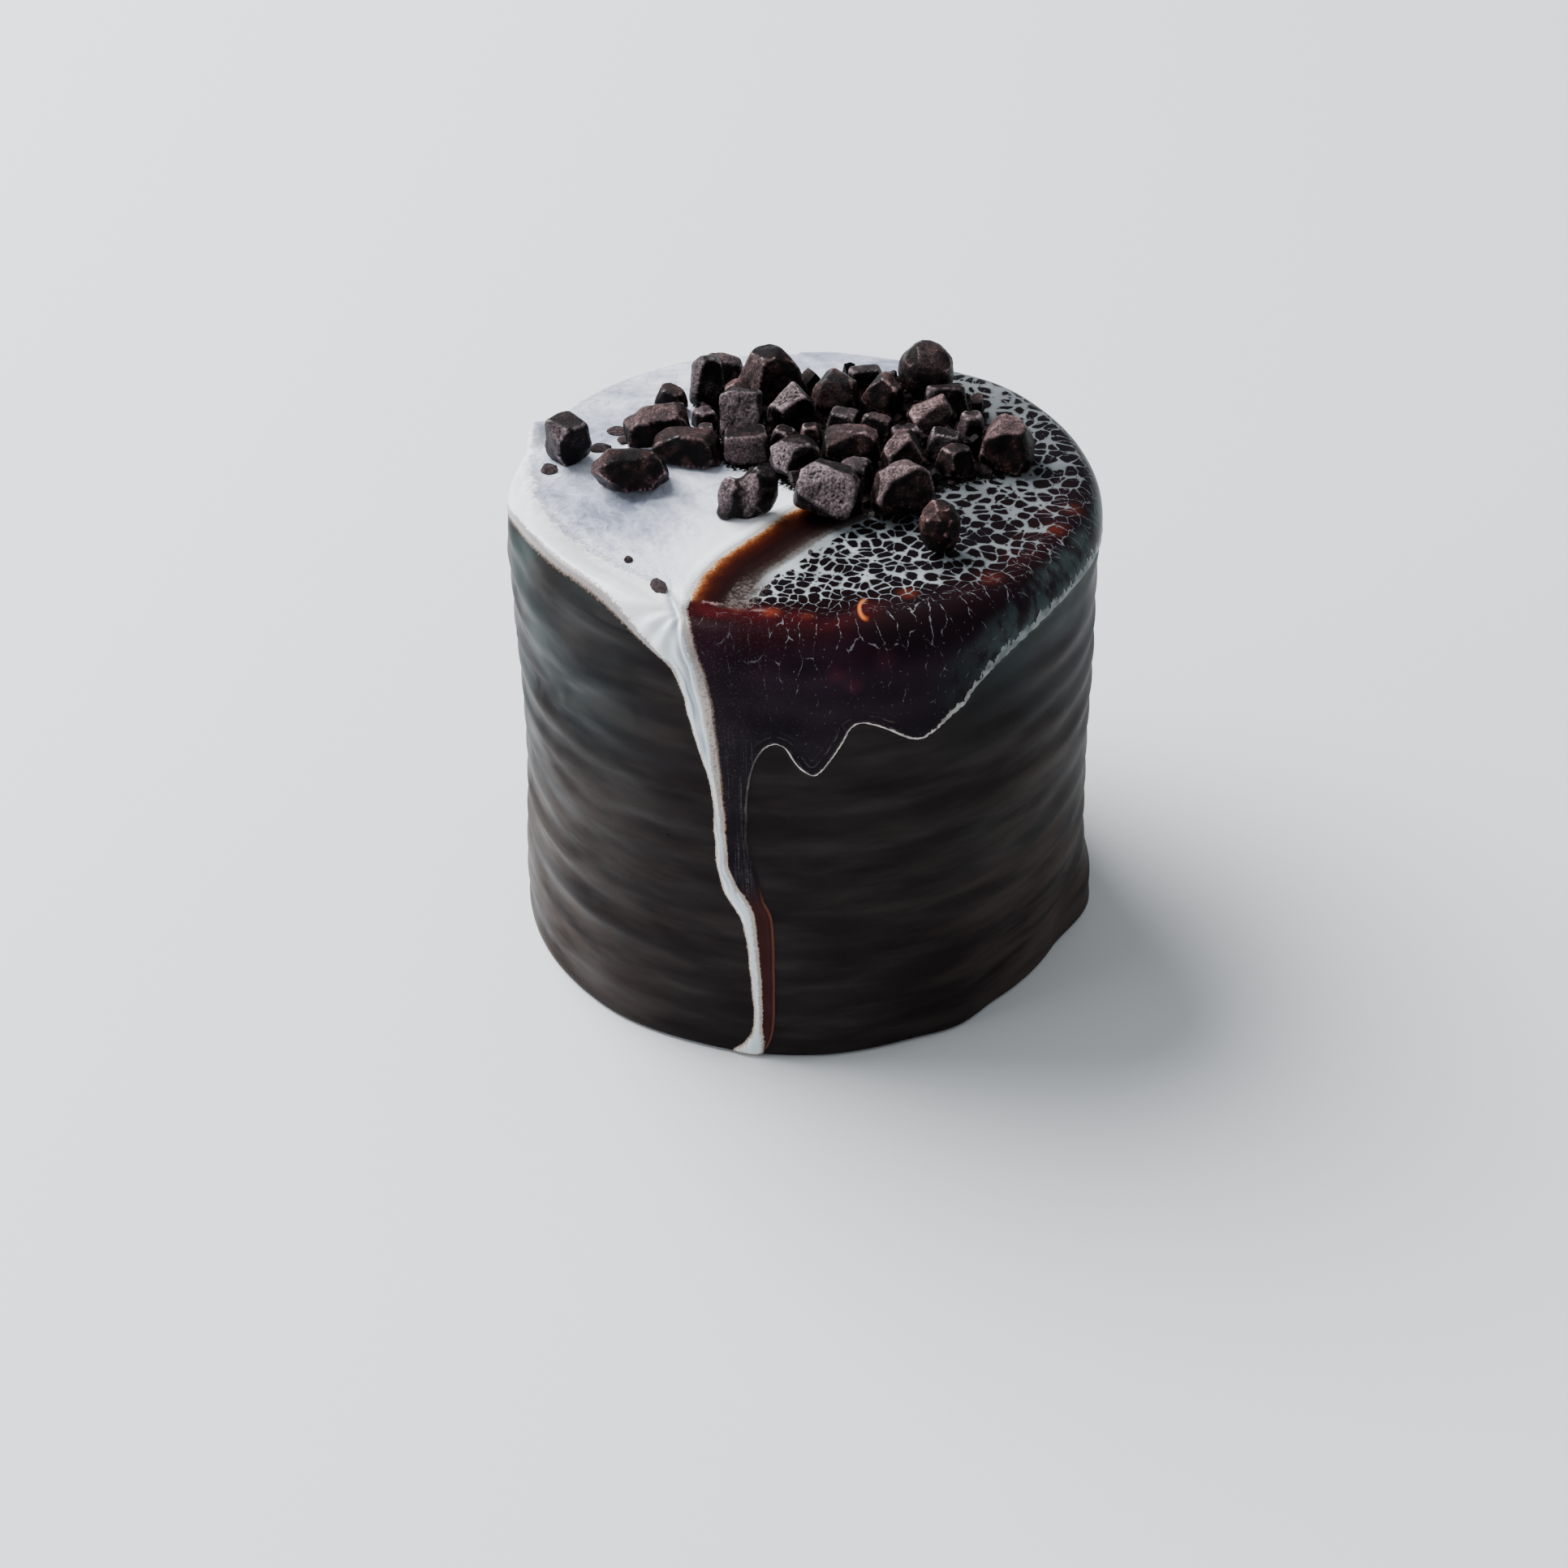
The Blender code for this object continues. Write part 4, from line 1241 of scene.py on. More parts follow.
# %% [markdown]
# The white pour is bright where it is thick and lavender where the dark cake shows through,
# with streaks that all run to the mouth of the drip. The drip is cooler in its core and creamy
# at its edge, and a matt sandy border runs along it where the pour dried first. The amber
# streak is clear glaze, so its colour is a ramp across it, from cream over orange to nearly
# black. Cocoa lies on its foot, and a pink crust marks where it ends at the rim.

# %% Colours of the white pour and of the amber streak
WHITE_STOPS = (
    (0.00, (0.220, 0.240, 0.315)),
    (0.35, (0.47, 0.50, 0.60)),
    (0.62, (0.72, 0.755, 0.84)),
    (0.85, (0.87, 0.90, 0.96)),
    (1.00, (0.94, 0.955, 0.98)),
)
DRIP_CORE = (0.66, 0.75, 0.81)
DRIP_CREAM = (0.74, 0.68, 0.61)
DRIP_SHADE_LINES = (0.27, 0.32, 0.39)
SAND = (0.190, 0.138, 0.110)
BEIGE = (0.43, 0.365, 0.32)
BEIGE_AT_RIM = (0.215, 0.188, 0.180)
BEIGE_GRAINS = (0.20, 0.130, 0.098)
POUR_SAND = (0.032, 0.023, 0.021)
POUR_SAND_PALE = (0.120, 0.104, 0.097)
SAND_ORANGE = (0.185, 0.095, 0.055)
AMBER_STOPS = (
    (0.00, (0.66, 0.56, 0.46)),
    (0.06, (0.33, 0.160, 0.070)),
    (0.13, (0.125, 0.034, 0.0105)),
    (0.21, (0.048, 0.0100, 0.0046)),
    (0.33, (0.0200, 0.0042, 0.0030)),
    (0.52, (0.0095, 0.0032, 0.0034)),
    (0.74, (0.0130, 0.0060, 0.0056)),
    (0.89, (0.0280, 0.0200, 0.0175)),
    (1.00, (0.095, 0.090, 0.086)),
)
RIM_CRUST = (0.230, 0.135, 0.130)
DUST_AND_SHADE = (0.0060, 0.0045, 0.0045)
LIP_SHADOW = (0.26, 0.27, 0.31)
LIP_BRIGHT = (0.94, 0.95, 0.97)
LIP_DULL = (0.68, 0.70, 0.76)
FROTH_GLINT = (0.98, 0.98, 0.99)
DRIP_HIGHLIGHT = (0.92, 0.93, 0.94)
FURROW_BRIGHT = (0.92, 0.94, 0.96)
FROTH_SCALE_FINE = 1500.0
DRIP_START = (36.0, 41.0)
MOUTH_WIDTH = (3.2, 1.6)
MOUTH_ROWS = (29.0, 33.0)
FURROW_START = (27.5, 30.5)
FURROW_END = (45.0, 37.0)
FURROW_WIDTH = (1.1, 0.3)
FURROW_LINE_WIDTH = (0.24, 0.06)
BEIGE_START = (29.0, 31.0)
BEIGE_BRIGHTENS = (36.0, 43.0)


# %% Lip, drip, border and the whole white pour
def lip_color(tree, place, color, milk_level):
    """The frothy lip over the rim, with a painted soft shadow along its inner edge and painted
    glints in the froth.
    """
    bubbles = noise_value(tree, place, FROTH_SCALE_FINE, 3.0, 0.65)
    lip_edge = field(tree, "lip_edge")
    froth = frayed(tree, lip_edge, bubbles, 3.4)
    shadow = step_between(tree, off_from(tree, froth, -0.8), 0.7, 0.0)
    color = blend_color(tree, times(tree, shadow, 0.45), color, LIP_SHADOW)
    # Bright specks in the froth: painted glints.
    froth_glints = step_between(tree, bubbles, 0.40, 0.62)
    froth_glints = times(tree, froth_glints, step_between(tree, lip_edge, 1.8, 0.6))
    thin = calc(tree, "SUBTRACT", 1.0, step_between(tree, milk_level, 0.1, 0.9))
    tone = blend_color(tree, thin, LIP_BRIGHT, LIP_DULL)
    tone = blend_color(tree, times(tree, froth_glints, 0.8), tone, FROTH_GLINT)
    return blend_color(tree, step_between(tree, froth, -0.25, 0.25), color, tone)


def drip_color(tree, color):
    """The drip with lines of painted shade and painted highlights along it, and the furrow that
    feeds it, with painted shade in its groove.
    """
    level = field(tree, "station")
    drip_place = field_vector(tree, "drip_place")
    wavering = shaken(tree, drip_place, 0.12, (0.8, 0.0, 0.0))
    lines = noise_value(tree, wavering, 1.0, 3.0, 0.6, (1.7, 0.035, 1.0))
    inside = step_between(tree, field(tree, "white_edge"), 0.15, 0.70)
    core = blend_color(tree, inside, DRIP_CREAM, DRIP_CORE)
    # Grey lines along the drip are painted shade of its folds.
    strong = step_between(tree, noise_value(tree, drip_place, 0.16, 1.0, 0.5), 0.36, 0.58)
    shaded_lines = times(tree, step_between(tree, lines, 0.48, 0.36), strong)
    core = blend_color(tree, shaded_lines, core, DRIP_SHADE_LINES)
    # Bright lines along the drip are painted highlights.
    core = blend_color(tree, step_between(tree, lines, 0.52, 0.66), core, DRIP_HIGHLIGHT)
    split = put(tree, "ShaderNodeSeparateXYZ", None, Vector=drip_place)
    mouth = step_between(tree, calc(tree, "ABSOLUTE", split.outputs["X"]), *MOUTH_WIDTH)
    mouth = times(tree, mouth, step_between(tree, level, *MOUTH_ROWS), 0.8)
    down = calc(tree, "MAXIMUM", step_between(tree, level, *DRIP_START), mouth)
    color = blend_color(tree, down, color, core)
    off_furrow = field(tree, "furrow")
    started = step_between(tree, level, *FURROW_START)
    # The furrow's groove is painted darker: painted shade in the furrow.
    furrow_shade = times(tree, step_between(tree, off_furrow, *FURROW_WIDTH), started)
    furrow_shade = times(tree, furrow_shade, step_between(tree, level, *FURROW_END), 0.75)
    color = blend_color(tree, furrow_shade, color, DRIP_SHADE_LINES)
    bright_line = times(tree, step_between(tree, off_furrow, *FURROW_LINE_WIDTH), started)
    return blend_color(tree, times(tree, bright_line, 0.85), color, FURROW_BRIGHT)


def beige_border(tree, color, grain):
    """The matt sandy border along the edge of the pour and of the drip."""
    level = field(tree, "station")
    sand_reach = field(tree, "sand_reach")
    ragged = frayed(tree, field(tree, "white_edge"), grain, 0.9)
    width = calc(tree, "MULTIPLY_ADD", sand_reach, 1.30, 0.12)
    border = step_between(tree, ragged, width, times(tree, width, 0.70))
    border = times(tree, border, step_between(tree, level, *BEIGE_START), 0.90)
    grains = step_between(tree, grain, 0.50, 0.62)
    grains = times(tree, grains, step_between(tree, sand_reach, 0.2, 0.8))
    tone = blend_color(tree, step_between(tree, level, *BEIGE_BRIGHTENS), BEIGE_AT_RIM, BEIGE)
    tone = blend_color(tree, grains, tone, BEIGE_GRAINS)
    return blend_color(tree, border, color, tone)


def white_color(tree, place, grain):
    """Bright where the pour is thick, lavender where it is thin, with streaks to the mouth."""
    run = shaken(tree, field_vector(tree, "pour_place"), 0.20, (0.16, 0.0, 0.0))
    streaks = noise_value(tree, run, 13.0, 3.0, 0.6, (1.0, 0.018, 1.0))
    fine = noise_value(tree, run, 34.0, 2.0, 0.6, (1.0, 0.030, 1.0))
    cloud = noise_value(tree, place, 130.0, 4.0, 0.62)
    shift = calc(tree, "MULTIPLY_ADD", streaks, 1.10, -0.55)
    shift = calc(tree, "ADD", shift, calc(tree, "MULTIPLY_ADD", fine, 0.44, -0.22))
    shift = calc(tree, "ADD", shift, calc(tree, "MULTIPLY_ADD", cloud, 1.00, -0.50))
    calm = blend_value(tree, step_between(tree, field(tree, "milk"), 0.70, 1.0), 0.95, 0.30)
    milk_level = calc(tree, "MULTIPLY_ADD", shift, calm, field(tree, "milk"))
    color = color_ramp(tree, milk_level, WHITE_STOPS)
    color = lip_color(tree, place, color, milk_level)
    color = drip_color(tree, color)
    return beige_border(tree, color, grain)


# %% Cocoa and sand beside the white pour
COCOA_ACROSS = (0.50, 0.66)
COCOA_REACH = (-1.7, -0.5)
COCOA_ROWS = (19.5, 25.0)
COCOA_END = (29.6, 28.2)
SAND_START = (29.5, 32.0)


def pour_sand_mask(tree, grain):
    """Grainy cocoa on the top between the foot of the streak and the lace."""
    level = field(tree, "station")
    beside = step_between(tree, field(tree, "streak_across"), *COCOA_ACROSS)
    reach = frayed(tree, field(tree, "streak_edge"), grain, 3.0)
    above_rim = step_between(tree, frayed(tree, level, grain, 2.4), *COCOA_END)
    rows = times(tree, step_between(tree, level, *COCOA_ROWS), above_rim)
    return times(tree, beside, step_between(tree, reach, *COCOA_REACH), rows)


def sand_mask(tree, grain):
    """A soft sprayed edge outside the white pour, below the rim."""
    ragged = frayed(tree, field(tree, "white_edge"), grain, 0.8)
    reach = times(tree, field(tree, "sand_reach"), -0.62)
    below_rim = step_between(tree, field(tree, "station"), *SAND_START)
    return times(tree, step_between(tree, ragged, reach, 0.05), below_rim)


# %% The dark layers, from the side up to the lace
NET_END_FADE = (4.6, 3.2)
STREAK_COVERS_NET = (0.20, -0.30)
LACE_DIMS_RIGHT = (16.0, 60.0)
HEM_GREYS_RIGHT = (12.0, 40.0)


def dark_layers(tree, place, grain, film):
    """Side, film, spray, threads, lace and hem; gives the colour and where it is pale."""
    level = field(tree, "station")
    heading = field(tree, "bearing")
    color = blend_color(tree, film, side_color(tree, place), film_color(tree, place))

    depth = net_depth(tree)
    past_net = calc(tree, "SUBTRACT", level, field(tree, "net_end"))
    on_top = step_between(tree, past_net, *NET_END_FADE)
    net = times(tree, step_between(tree, depth, -0.02, 0.04), on_top)
    net = times(tree, net, step_between(tree, field(tree, "streak_edge"), *STREAK_COVERS_NET))
    threads = calc(tree, "MAXIMUM", thread_mask(tree), strip_lines(tree, grain))
    threads = times(tree, threads, film, blend_value(tree, field(tree, "veil"), 1.0, 0.35))
    color = blend_color(tree, times(tree, spray_mask(tree, place), film), color, THREAD_GREY)
    color = blend_color(tree, threads, color, THREAD_GREY)

    tone = blend_color(tree, step_between(tree, depth, -0.02, 0.17), LACE_SHADE, LACE_WHITE)
    smoke = step_between(tree, noise_value(tree, place, 170.0, 3.0, 0.6), 0.38, 0.66)
    tone = blend_color(tree, times(tree, smoke, 0.60), tone, LACE_SHADE)
    turned = step_between(tree, heading, *LACE_DIMS_RIGHT)
    tone = blend_color(tree, times(tree, turned, 0.76), tone, LACE_SHADE)
    color = blend_color(tree, net, color, tone)

    hem = hem_mask(tree)
    tone = blend_color(tree, step_between(tree, heading, *HEM_GREYS_RIGHT), HEM_CREAM, HEM_GREY)
    color = blend_color(tree, hem, color, tone)
    return color, calc(tree, "MAXIMUM", net, hem)


# %% The amber streak and the crust at its foot
STREAK_END = (29.5, 27.9)
STREAK_FUZZ = (-0.75, 0.0)
CRUST_STATION = 28.7
CRUST_WIDTH = (0.45, 0.05)
CRUST_BEARING = -17.0
CRUST_REACH = (10.0, 6.0)


def streak_layers(tree, color, grain, mottle):
    """Cocoa between the streak and the lace, then the streak, then the crust at its foot."""
    level = field(tree, "station")
    pour_sand = pour_sand_mask(tree, grain)
    cocoa = blend_color(tree, step_between(tree, grain, 0.40, 0.66), POUR_SAND, POUR_SAND_PALE)
    color = blend_color(tree, times(tree, pour_sand, 0.9), color, cocoa)

    above_crust = frayed(tree, level, grain, 1.6)
    streak = step_between(tree, frayed(tree, field(tree, "streak_edge"), grain, 0.7), *STREAK_FUZZ)
    streak = times(tree, streak, step_between(tree, above_crust, *STREAK_END))
    across = frayed(tree, field(tree, "streak_across"), grain, 0.20)
    across = frayed(tree, across, mottle, 0.14)
    under_cocoa = times(tree, pour_sand, step_between(tree, across, 0.62, 0.85))
    streak = times(tree, streak, calc(tree, "SUBTRACT", 1.0, under_cocoa))
    color = blend_color(tree, streak, color, color_ramp(tree, across, AMBER_STOPS))

    crust = step_between(tree, off_from(tree, above_crust, CRUST_STATION), *CRUST_WIDTH)
    crust = times(tree, crust, step_between(tree, mottle, 0.44, 0.58))
    off_crust = off_from(tree, field(tree, "bearing"), CRUST_BEARING)
    crust = times(tree, crust, step_between(tree, off_crust, *CRUST_REACH), 0.8)
    return blend_color(tree, crust, color, RIM_CRUST)


# %% The skin's material
SKIN_SPECULAR = 0.012
SKIN_COAT_ROUGHNESS = 0.22
SKIN_BUMP_DISTANCE = 0.12 * MM
SKIN_BUMP_STRENGTH = 0.8
SAND_TURNS_ORANGE = (46.0, 58.0)
WHITE_SHARPENS = (29.0, 31.5)


def make_skin_material():
    material = bpy.data.materials.new("poured_glaze")
    material.use_nodes = True
    tree = material.node_tree
    shader = tree.nodes["Principled BSDF"]
    place = object_place(tree)
    grain, mottle = add_grain(tree, 1.0)
    level = field(tree, "station")

    soft_film = calc(tree, "MULTIPLY_ADD", grain, 0.10, field(tree, "film_edge"))
    film = step_between(tree, soft_film, 0.0, 0.12)
    color, pale = dark_layers(tree, place, grain, film)
    color = streak_layers(tree, color, grain, mottle)

    sand_tone = step_between(tree, level, *SAND_TURNS_ORANGE)
    sand_tone = blend_color(tree, sand_tone, SAND, SAND_ORANGE)
    color = blend_color(tree, sand_mask(tree, grain), color, sand_tone)
    ragged = frayed(tree, field(tree, "white_edge"), grain, 0.45)
    soft = blend_value(tree, step_between(tree, level, *WHITE_SHARPENS), 0.34, 0.12)
    white = step_between(tree, ragged, times(tree, soft, -1.0), soft)
    color = blend_color(tree, white, color, white_color(tree, place, grain))

    # The dark ground under the heap: chocolate dust and painted shade between the pieces.
    dust_and_shade = step_between(tree, frayed(tree, field(tree, "heap_edge"), grain, 4.0), -0.3, 0.4)
    color = blend_color(tree, dust_and_shade, color, DUST_AND_SHADE)
    tree.links.new(color, shader.inputs["Base Color"])

    satin = noise_value(tree, place, 90.0, 2.0, 0.5, (1.0, 1.0, 3.0))
    roughness = blend_value(tree, film, blend_value(tree, satin, 0.42, 0.58), 0.30)
    roughness = blend_value(tree, white, roughness, 0.36)
    tree.links.new(roughness, shader.inputs["Roughness"])
    side_coat = times(tree, field(tree, "shine"), step_between(tree, satin, 0.2, 0.8))
    film_coat = blend_value(tree, field(tree, "veil"), 0.006, 0.06)
    coat = blend_value(tree, film, side_coat, film_coat)
    coat = blend_value(tree, white, coat, 0.65)
    coat = times(tree, coat, blend_value(tree, dust_and_shade, 1.0, 0.0))
    tree.links.new(coat, shader.inputs["Coat Weight"])
    shader.inputs["Coat Roughness"].default_value = SKIN_COAT_ROUGHNESS
    shader.inputs["Specular IOR Level"].default_value = SKIN_SPECULAR

    height = calc(tree, "MULTIPLY_ADD", pale, 0.5, times(tree, white, 0.5))
    height = calc(tree, "MULTIPLY_ADD", mottle, 0.25, height)
    height = calc(tree, "MULTIPLY_ADD", grain, 0.10, height)
    add_bump(tree, shader, height, SKIN_BUMP_DISTANCE, SKIN_BUMP_STRENGTH)
    return material


skin.data.materials.clear()
skin.data.materials.append(make_skin_material())
print("skin material nodes:", len(skin.data.materials[0].node_tree.nodes))

# %% [markdown]
# Broken chocolate. Each piece was snapped or chopped off a bar: some faces are smooth and dark,
# others are fresh breaks, dull and pitted, and the face that catches the light is painted paler.
# The corners are worn by handling.
#
# The imported pieces have the right size and place, but even corners. Each one is copied, its
# loose triangles are welded, and bisect cuts chop facets off it, as a knife would. A voxel
# remesh then gives it an even fine mesh that noise can roughen. Sculpting each by hand would
# look alike, but it couldn't be repeated by a script.
#
# The facets are listed as they are seen. CHOPS gives each cut as a clock angle in the picture, a
# lean towards the camera and how far out the cut lies. A second table names for each piece the one
# face that is a fresh break and catches the light, and how pale it is painted: its pits and
# roughness are those of a break, its paleness is painted light. REDNESS says how reddish a piece
# is.

# %% Chops of each piece
CHOPS = {
    "chunk_01": ((180, 60, 0.76), (120, 10, 0.86), (60, 5, 0.86), (-55, 5, 0.90), (-130, 5, 0.80),
                 (90, 45, 0.88)),
    "chunk_02": ((-128, 5, 0.62), (-42, 5, 0.72), (135, 10, 0.82), (50, 10, 0.86), (90, 50, 0.86)),
    "chunk_03": ((130, 30, 0.84), (45, 30, 0.84), (-50, 20, 0.88)),
    "chunk_05": ((140, 30, 0.78), (40, 40, 0.80), (-120, 10, 0.86), (-60, 20, 0.86)),
    "chunk_06": ((180, 45, 0.76), (125, 15, 0.84), (60, 20, 0.84), (-120, 15, 0.84)),
    "chunk_08": ((185, 35, 0.72), (42, 5, 0.70), (60, 40, 0.84), (150, 0, 0.86)),
    "chunk_09": ((120, 20, 0.82), (60, 40, 0.84)),
    "chunk_10": ((0, 78, 0.88), (100, 30, 0.90)),
    "chunk_11": ((90, 82, 0.84), (118, 5, 0.84), (0, 20, 0.88)),
    "chunk_12": ((125, 45, 0.72), (-48, 35, 0.70), (45, 15, 0.78), (-125, 20, 0.80)),
    "chunk_13": ((172, 52, 0.72), (120, 20, 0.82), (60, 20, 0.78), (-60, 15, 0.86),
                 (-125, 20, 0.84)),
    "chunk_14": ((130, 20, 0.76), (60, 20, 0.78), (0, 15, 0.86), (185, 45, 0.82), (-60, 20, 0.86)),
    "chunk_16": ((120, 35, 0.80), (60, 30, 0.80), (-60, 20, 0.84), (180, 20, 0.88)),
    "chunk_17": ((150, 66, 0.74), (117, 8, 0.80), (35, 5, 0.82), (-32, 5, 0.82), (-128, 8, 0.78),
                 (180, 5, 0.90)),
    "chunk_18": ((135, 20, 0.78), (45, 30, 0.76), (-45, 20, 0.82)),
    "chunk_20": ((118, 58, 0.66), (30, 10, 0.78), (-40, 20, 0.74), (-150, 5, 0.84), (150, 5, 0.86)),
    "chunk_22": ((140, 48, 0.70), (30, 20, 0.68), (155, 0, 0.80), (-45, 15, 0.84)),
    "chunk_23": ((112, 58, 0.76), (125, 5, 0.82), (55, 5, 0.80), (0, 5, 0.88), (-48, 10, 0.78),
                 (-85, 35, 0.74), (-135, 10, 0.82)),
    "chunk_26": ((90, 45, 0.80), (135, 15, 0.82), (45, 15, 0.80), (-50, 15, 0.84),
                 (-130, 15, 0.86)),
}
CHOPS["pearl"] = ((30, 55, 0.90), (150, 50, 0.93), (-60, 30, 0.95))
CHOPS["nugget"] = ((150, 35, 0.88), (-30, 40, 0.86), (90, 45, 0.92))
CHOPS["twin_nugget"] = ((160, 60, 0.82), (60, 30, 0.90))
# Each entry: clock angle, lean and paleness of the face that is a fresh break and faces the light;
# its paleness is painted light.
BROKEN_AND_LIT_FACES = {
    "chunk_01": (165, 55, 0.55), "chunk_02": (150, 20, 0.30), "chunk_06": (180, 45, 0.50),
    "chunk_08": (185, 35, 0.55), "chunk_10": (0, 78, 0.70), "chunk_11": (90, 82, 0.90),
    "chunk_12": (125, 45, 1.00), "chunk_13": (172, 52, 0.90), "chunk_14": (185, 45, 0.30),
    "chunk_16": (70, 45, 0.35), "chunk_17": (150, 66, 1.00), "chunk_18": (60, 50, 0.35),
    "chunk_20": (118, 58, 1.00), "chunk_22": (140, 48, 0.80), "chunk_23": (112, 58, 0.90),
    "chunk_26": (100, 45, 0.60), "pearl": (40, 62, 0.22), "nugget": (150, 40, 0.26),
    "twin_nugget": (200, 50, 0.75),
}
REDNESS = {
    "nugget": 1.0, "chunk_09": 0.9, "chunk_14": 0.7, "chunk_18": 0.7, "chunk_20": 0.6,
    "chunk_22": 0.6, "chunk_26": 0.7, "chunk_16": 0.7, "chunk_03": 0.6, "chunk_05": 0.8,
    "chunk_17": 0.1, "chunk_13": 0.1, "chunk_11": 0.1, "chunk_06": 0.0, "chunk_01": 0.1,
    "pearl": 0.6,
}
LOOSE_CHOPS = 2
LOOSE_LEANS = (0, 60)
LOOSE_SHARES = (0.80, 0.92)


def seen_direction(clock, lean):
    """A direction from its clock angle, 0 to the right, and its lean towards the camera."""
    turn = math.radians(clock)
    forward = math.radians(lean)
    across = Vector((math.cos(turn), math.sin(turn), 0.0)) * math.cos(forward)
    return (camera_turn.to_3x3() @ (across + Vector((0.0, 0.0, math.sin(forward))))).normalized()


def chop(piece, facing, share):
    """Cut a facet off the active piece, in edit mode."""
    points = read_points(piece.data)
    middle = Vector((points.min(axis=0) + points.max(axis=0)) / 2)
    reach = float(((points - np.array(middle)) @ np.array(facing)).max())
    bpy.ops.object.mode_set(mode="EDIT")
    bpy.ops.mesh.select_all(action="SELECT")
    bpy.ops.mesh.bisect(
        plane_co=middle + facing * reach * share, plane_no=facing, use_fill=True, clear_outer=True
    )
    bpy.ops.object.mode_set(mode="OBJECT")


def chops_of(node, dice):
    """The chops of a piece, and a few by chance."""
    chosen = list(CHOPS.get(node, ()))
    for _ in range(LOOSE_CHOPS if node.startswith("chunk") else 0):
        turned = dice.uniform(-180, 180)
        chosen.append((turned, dice.uniform(*LOOSE_LEANS), dice.uniform(*LOOSE_SHARES)))
    return chosen


print("pieces with chops of their own:", len(CHOPS))

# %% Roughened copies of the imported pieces
VOXEL = 0.14 * MM
WEARING = 5
WEARING_OF_ROUND_PIECES = 2
WEAR_FACTOR = 0.6
CONVEXITY_CONTRAST = 0.22
FLAT_ANGLE = math.radians(2.0)
LUMP_SIZE = 2.6
LUMP_HEIGHT = 0.18
KNOB_SIZE = 1.1
KNOB_HEIGHT = 0.15
PIT_SIZE = 0.42
PIT_DEPTH = 0.07
PIT_STRETCHES = ((1.0, 0.5, 0.8), (0.5, 1.0, 0.8), (0.8, 1.0, 0.45))
SWELL = 0.20
SEAT_HEIGHT = 1.8
SEAT_DROP = 0.32
SEAT_SPREAD = {"twin_nugget": 0.32, "nugget": 0.22}
SMALL_LOBE_START = -5.2
SMALL_LOBE_TOP = 64.4
SMALL_LOBE_FALL = 1.25
SMALL_LOBE_RUN = 1.6
SMALL_LOBE_DEPTH = 2.8
BROKEN_AND_LIT_START = 0.62
BROKEN_AND_LIT_RUN = 0.28
PIT_LIMIT = 0.25
PITS_EVERYWHERE = 0.35


def even_mesh(piece, node, dice):
    """Weld the loose triangles, chop the piece, remesh it finely and wear its edges."""
    deselect_all()
    piece.select_set(True)
    bpy.context.view_layer.objects.active = piece
    bpy.ops.object.mode_set(mode="EDIT")
    bpy.ops.mesh.select_all(action="SELECT")
    bpy.ops.mesh.remove_doubles(threshold=WELD)
    bpy.ops.mesh.normals_make_consistent(inside=False)
    bpy.ops.mesh.dissolve_limited(angle_limit=FLAT_ANGLE)
    bpy.ops.object.mode_set(mode="OBJECT")
    for clock, lean, share in chops_of(node, dice):
        chop(piece, seen_direction(clock, lean), share)
    remesh = piece.modifiers.new("even_mesh", "REMESH")
    remesh.mode = "VOXEL"
    remesh.voxel_size = VOXEL
    bpy.ops.object.modifier_apply(modifier=remesh.name)
    wear = piece.modifiers.new("worn_edges", "SMOOTH")
    wear.factor = WEAR_FACTOR
    wear.iterations = WEARING if node.startswith("chunk") else WEARING_OF_ROUND_PIECES
    bpy.ops.object.modifier_apply(modifier=wear.name)


def read_normals(mesh):
    flat = np.empty(3 * len(mesh.vertices))
    mesh.vertices.foreach_get("normal", flat)
    return flat.reshape(-1, 3)


def edge_convexity(mesh):
    """0 in hollows, about 0.5 on flat faces and 1 on sharp edges."""
    ends = np.empty(2 * len(mesh.edges), dtype=np.int32)
    mesh.edges.foreach_get("vertices", ends)
    first, second = ends.reshape(-1, 2).T
    points = read_points(mesh) / MM
    normals = read_normals(mesh)
    run = points[second] - points[first]
    bend = np.sum((normals[second] - normals[first]) * run, axis=1) / np.sum(run * run, axis=1)
    total = np.bincount(first, bend, len(points)) + np.bincount(second, bend, len(points))
    count = np.bincount(first, None, len(points)) + np.bincount(second, None, len(points))
    return np.clip(0.5 + CONVEXITY_CONTRAST * total / np.maximum(count, 1), 0.0, 1.0)


def seat(points, node):
    """Let the foot of a piece settle into the glaze that it lies on."""
    low = points[:, 2].min()
    share = ease((low + SEAT_HEIGHT - points[:, 2]) / SEAT_HEIGHT)
    middle = points.mean(axis=0)
    spread = 1.0 + SEAT_SPREAD.get(node, 0.0) * share
    points[:, 0] = middle[0] + (points[:, 0] - middle[0]) * spread
    points[:, 1] = middle[1] + (points[:, 1] - middle[1]) * spread
    points[:, 2] -= SEAT_DROP * share


def settle_small_lobe(points):
    """Let the small lobe of the twin nugget hang down to the glaze."""
    on_lobe = ease((SMALL_LOBE_START - points[:, 0]) / SMALL_LOBE_RUN)
    below_top = ease((SMALL_LOBE_TOP - points[:, 2]) / SMALL_LOBE_DEPTH)
    points[:, 2] -= SMALL_LOBE_FALL * on_lobe * below_top


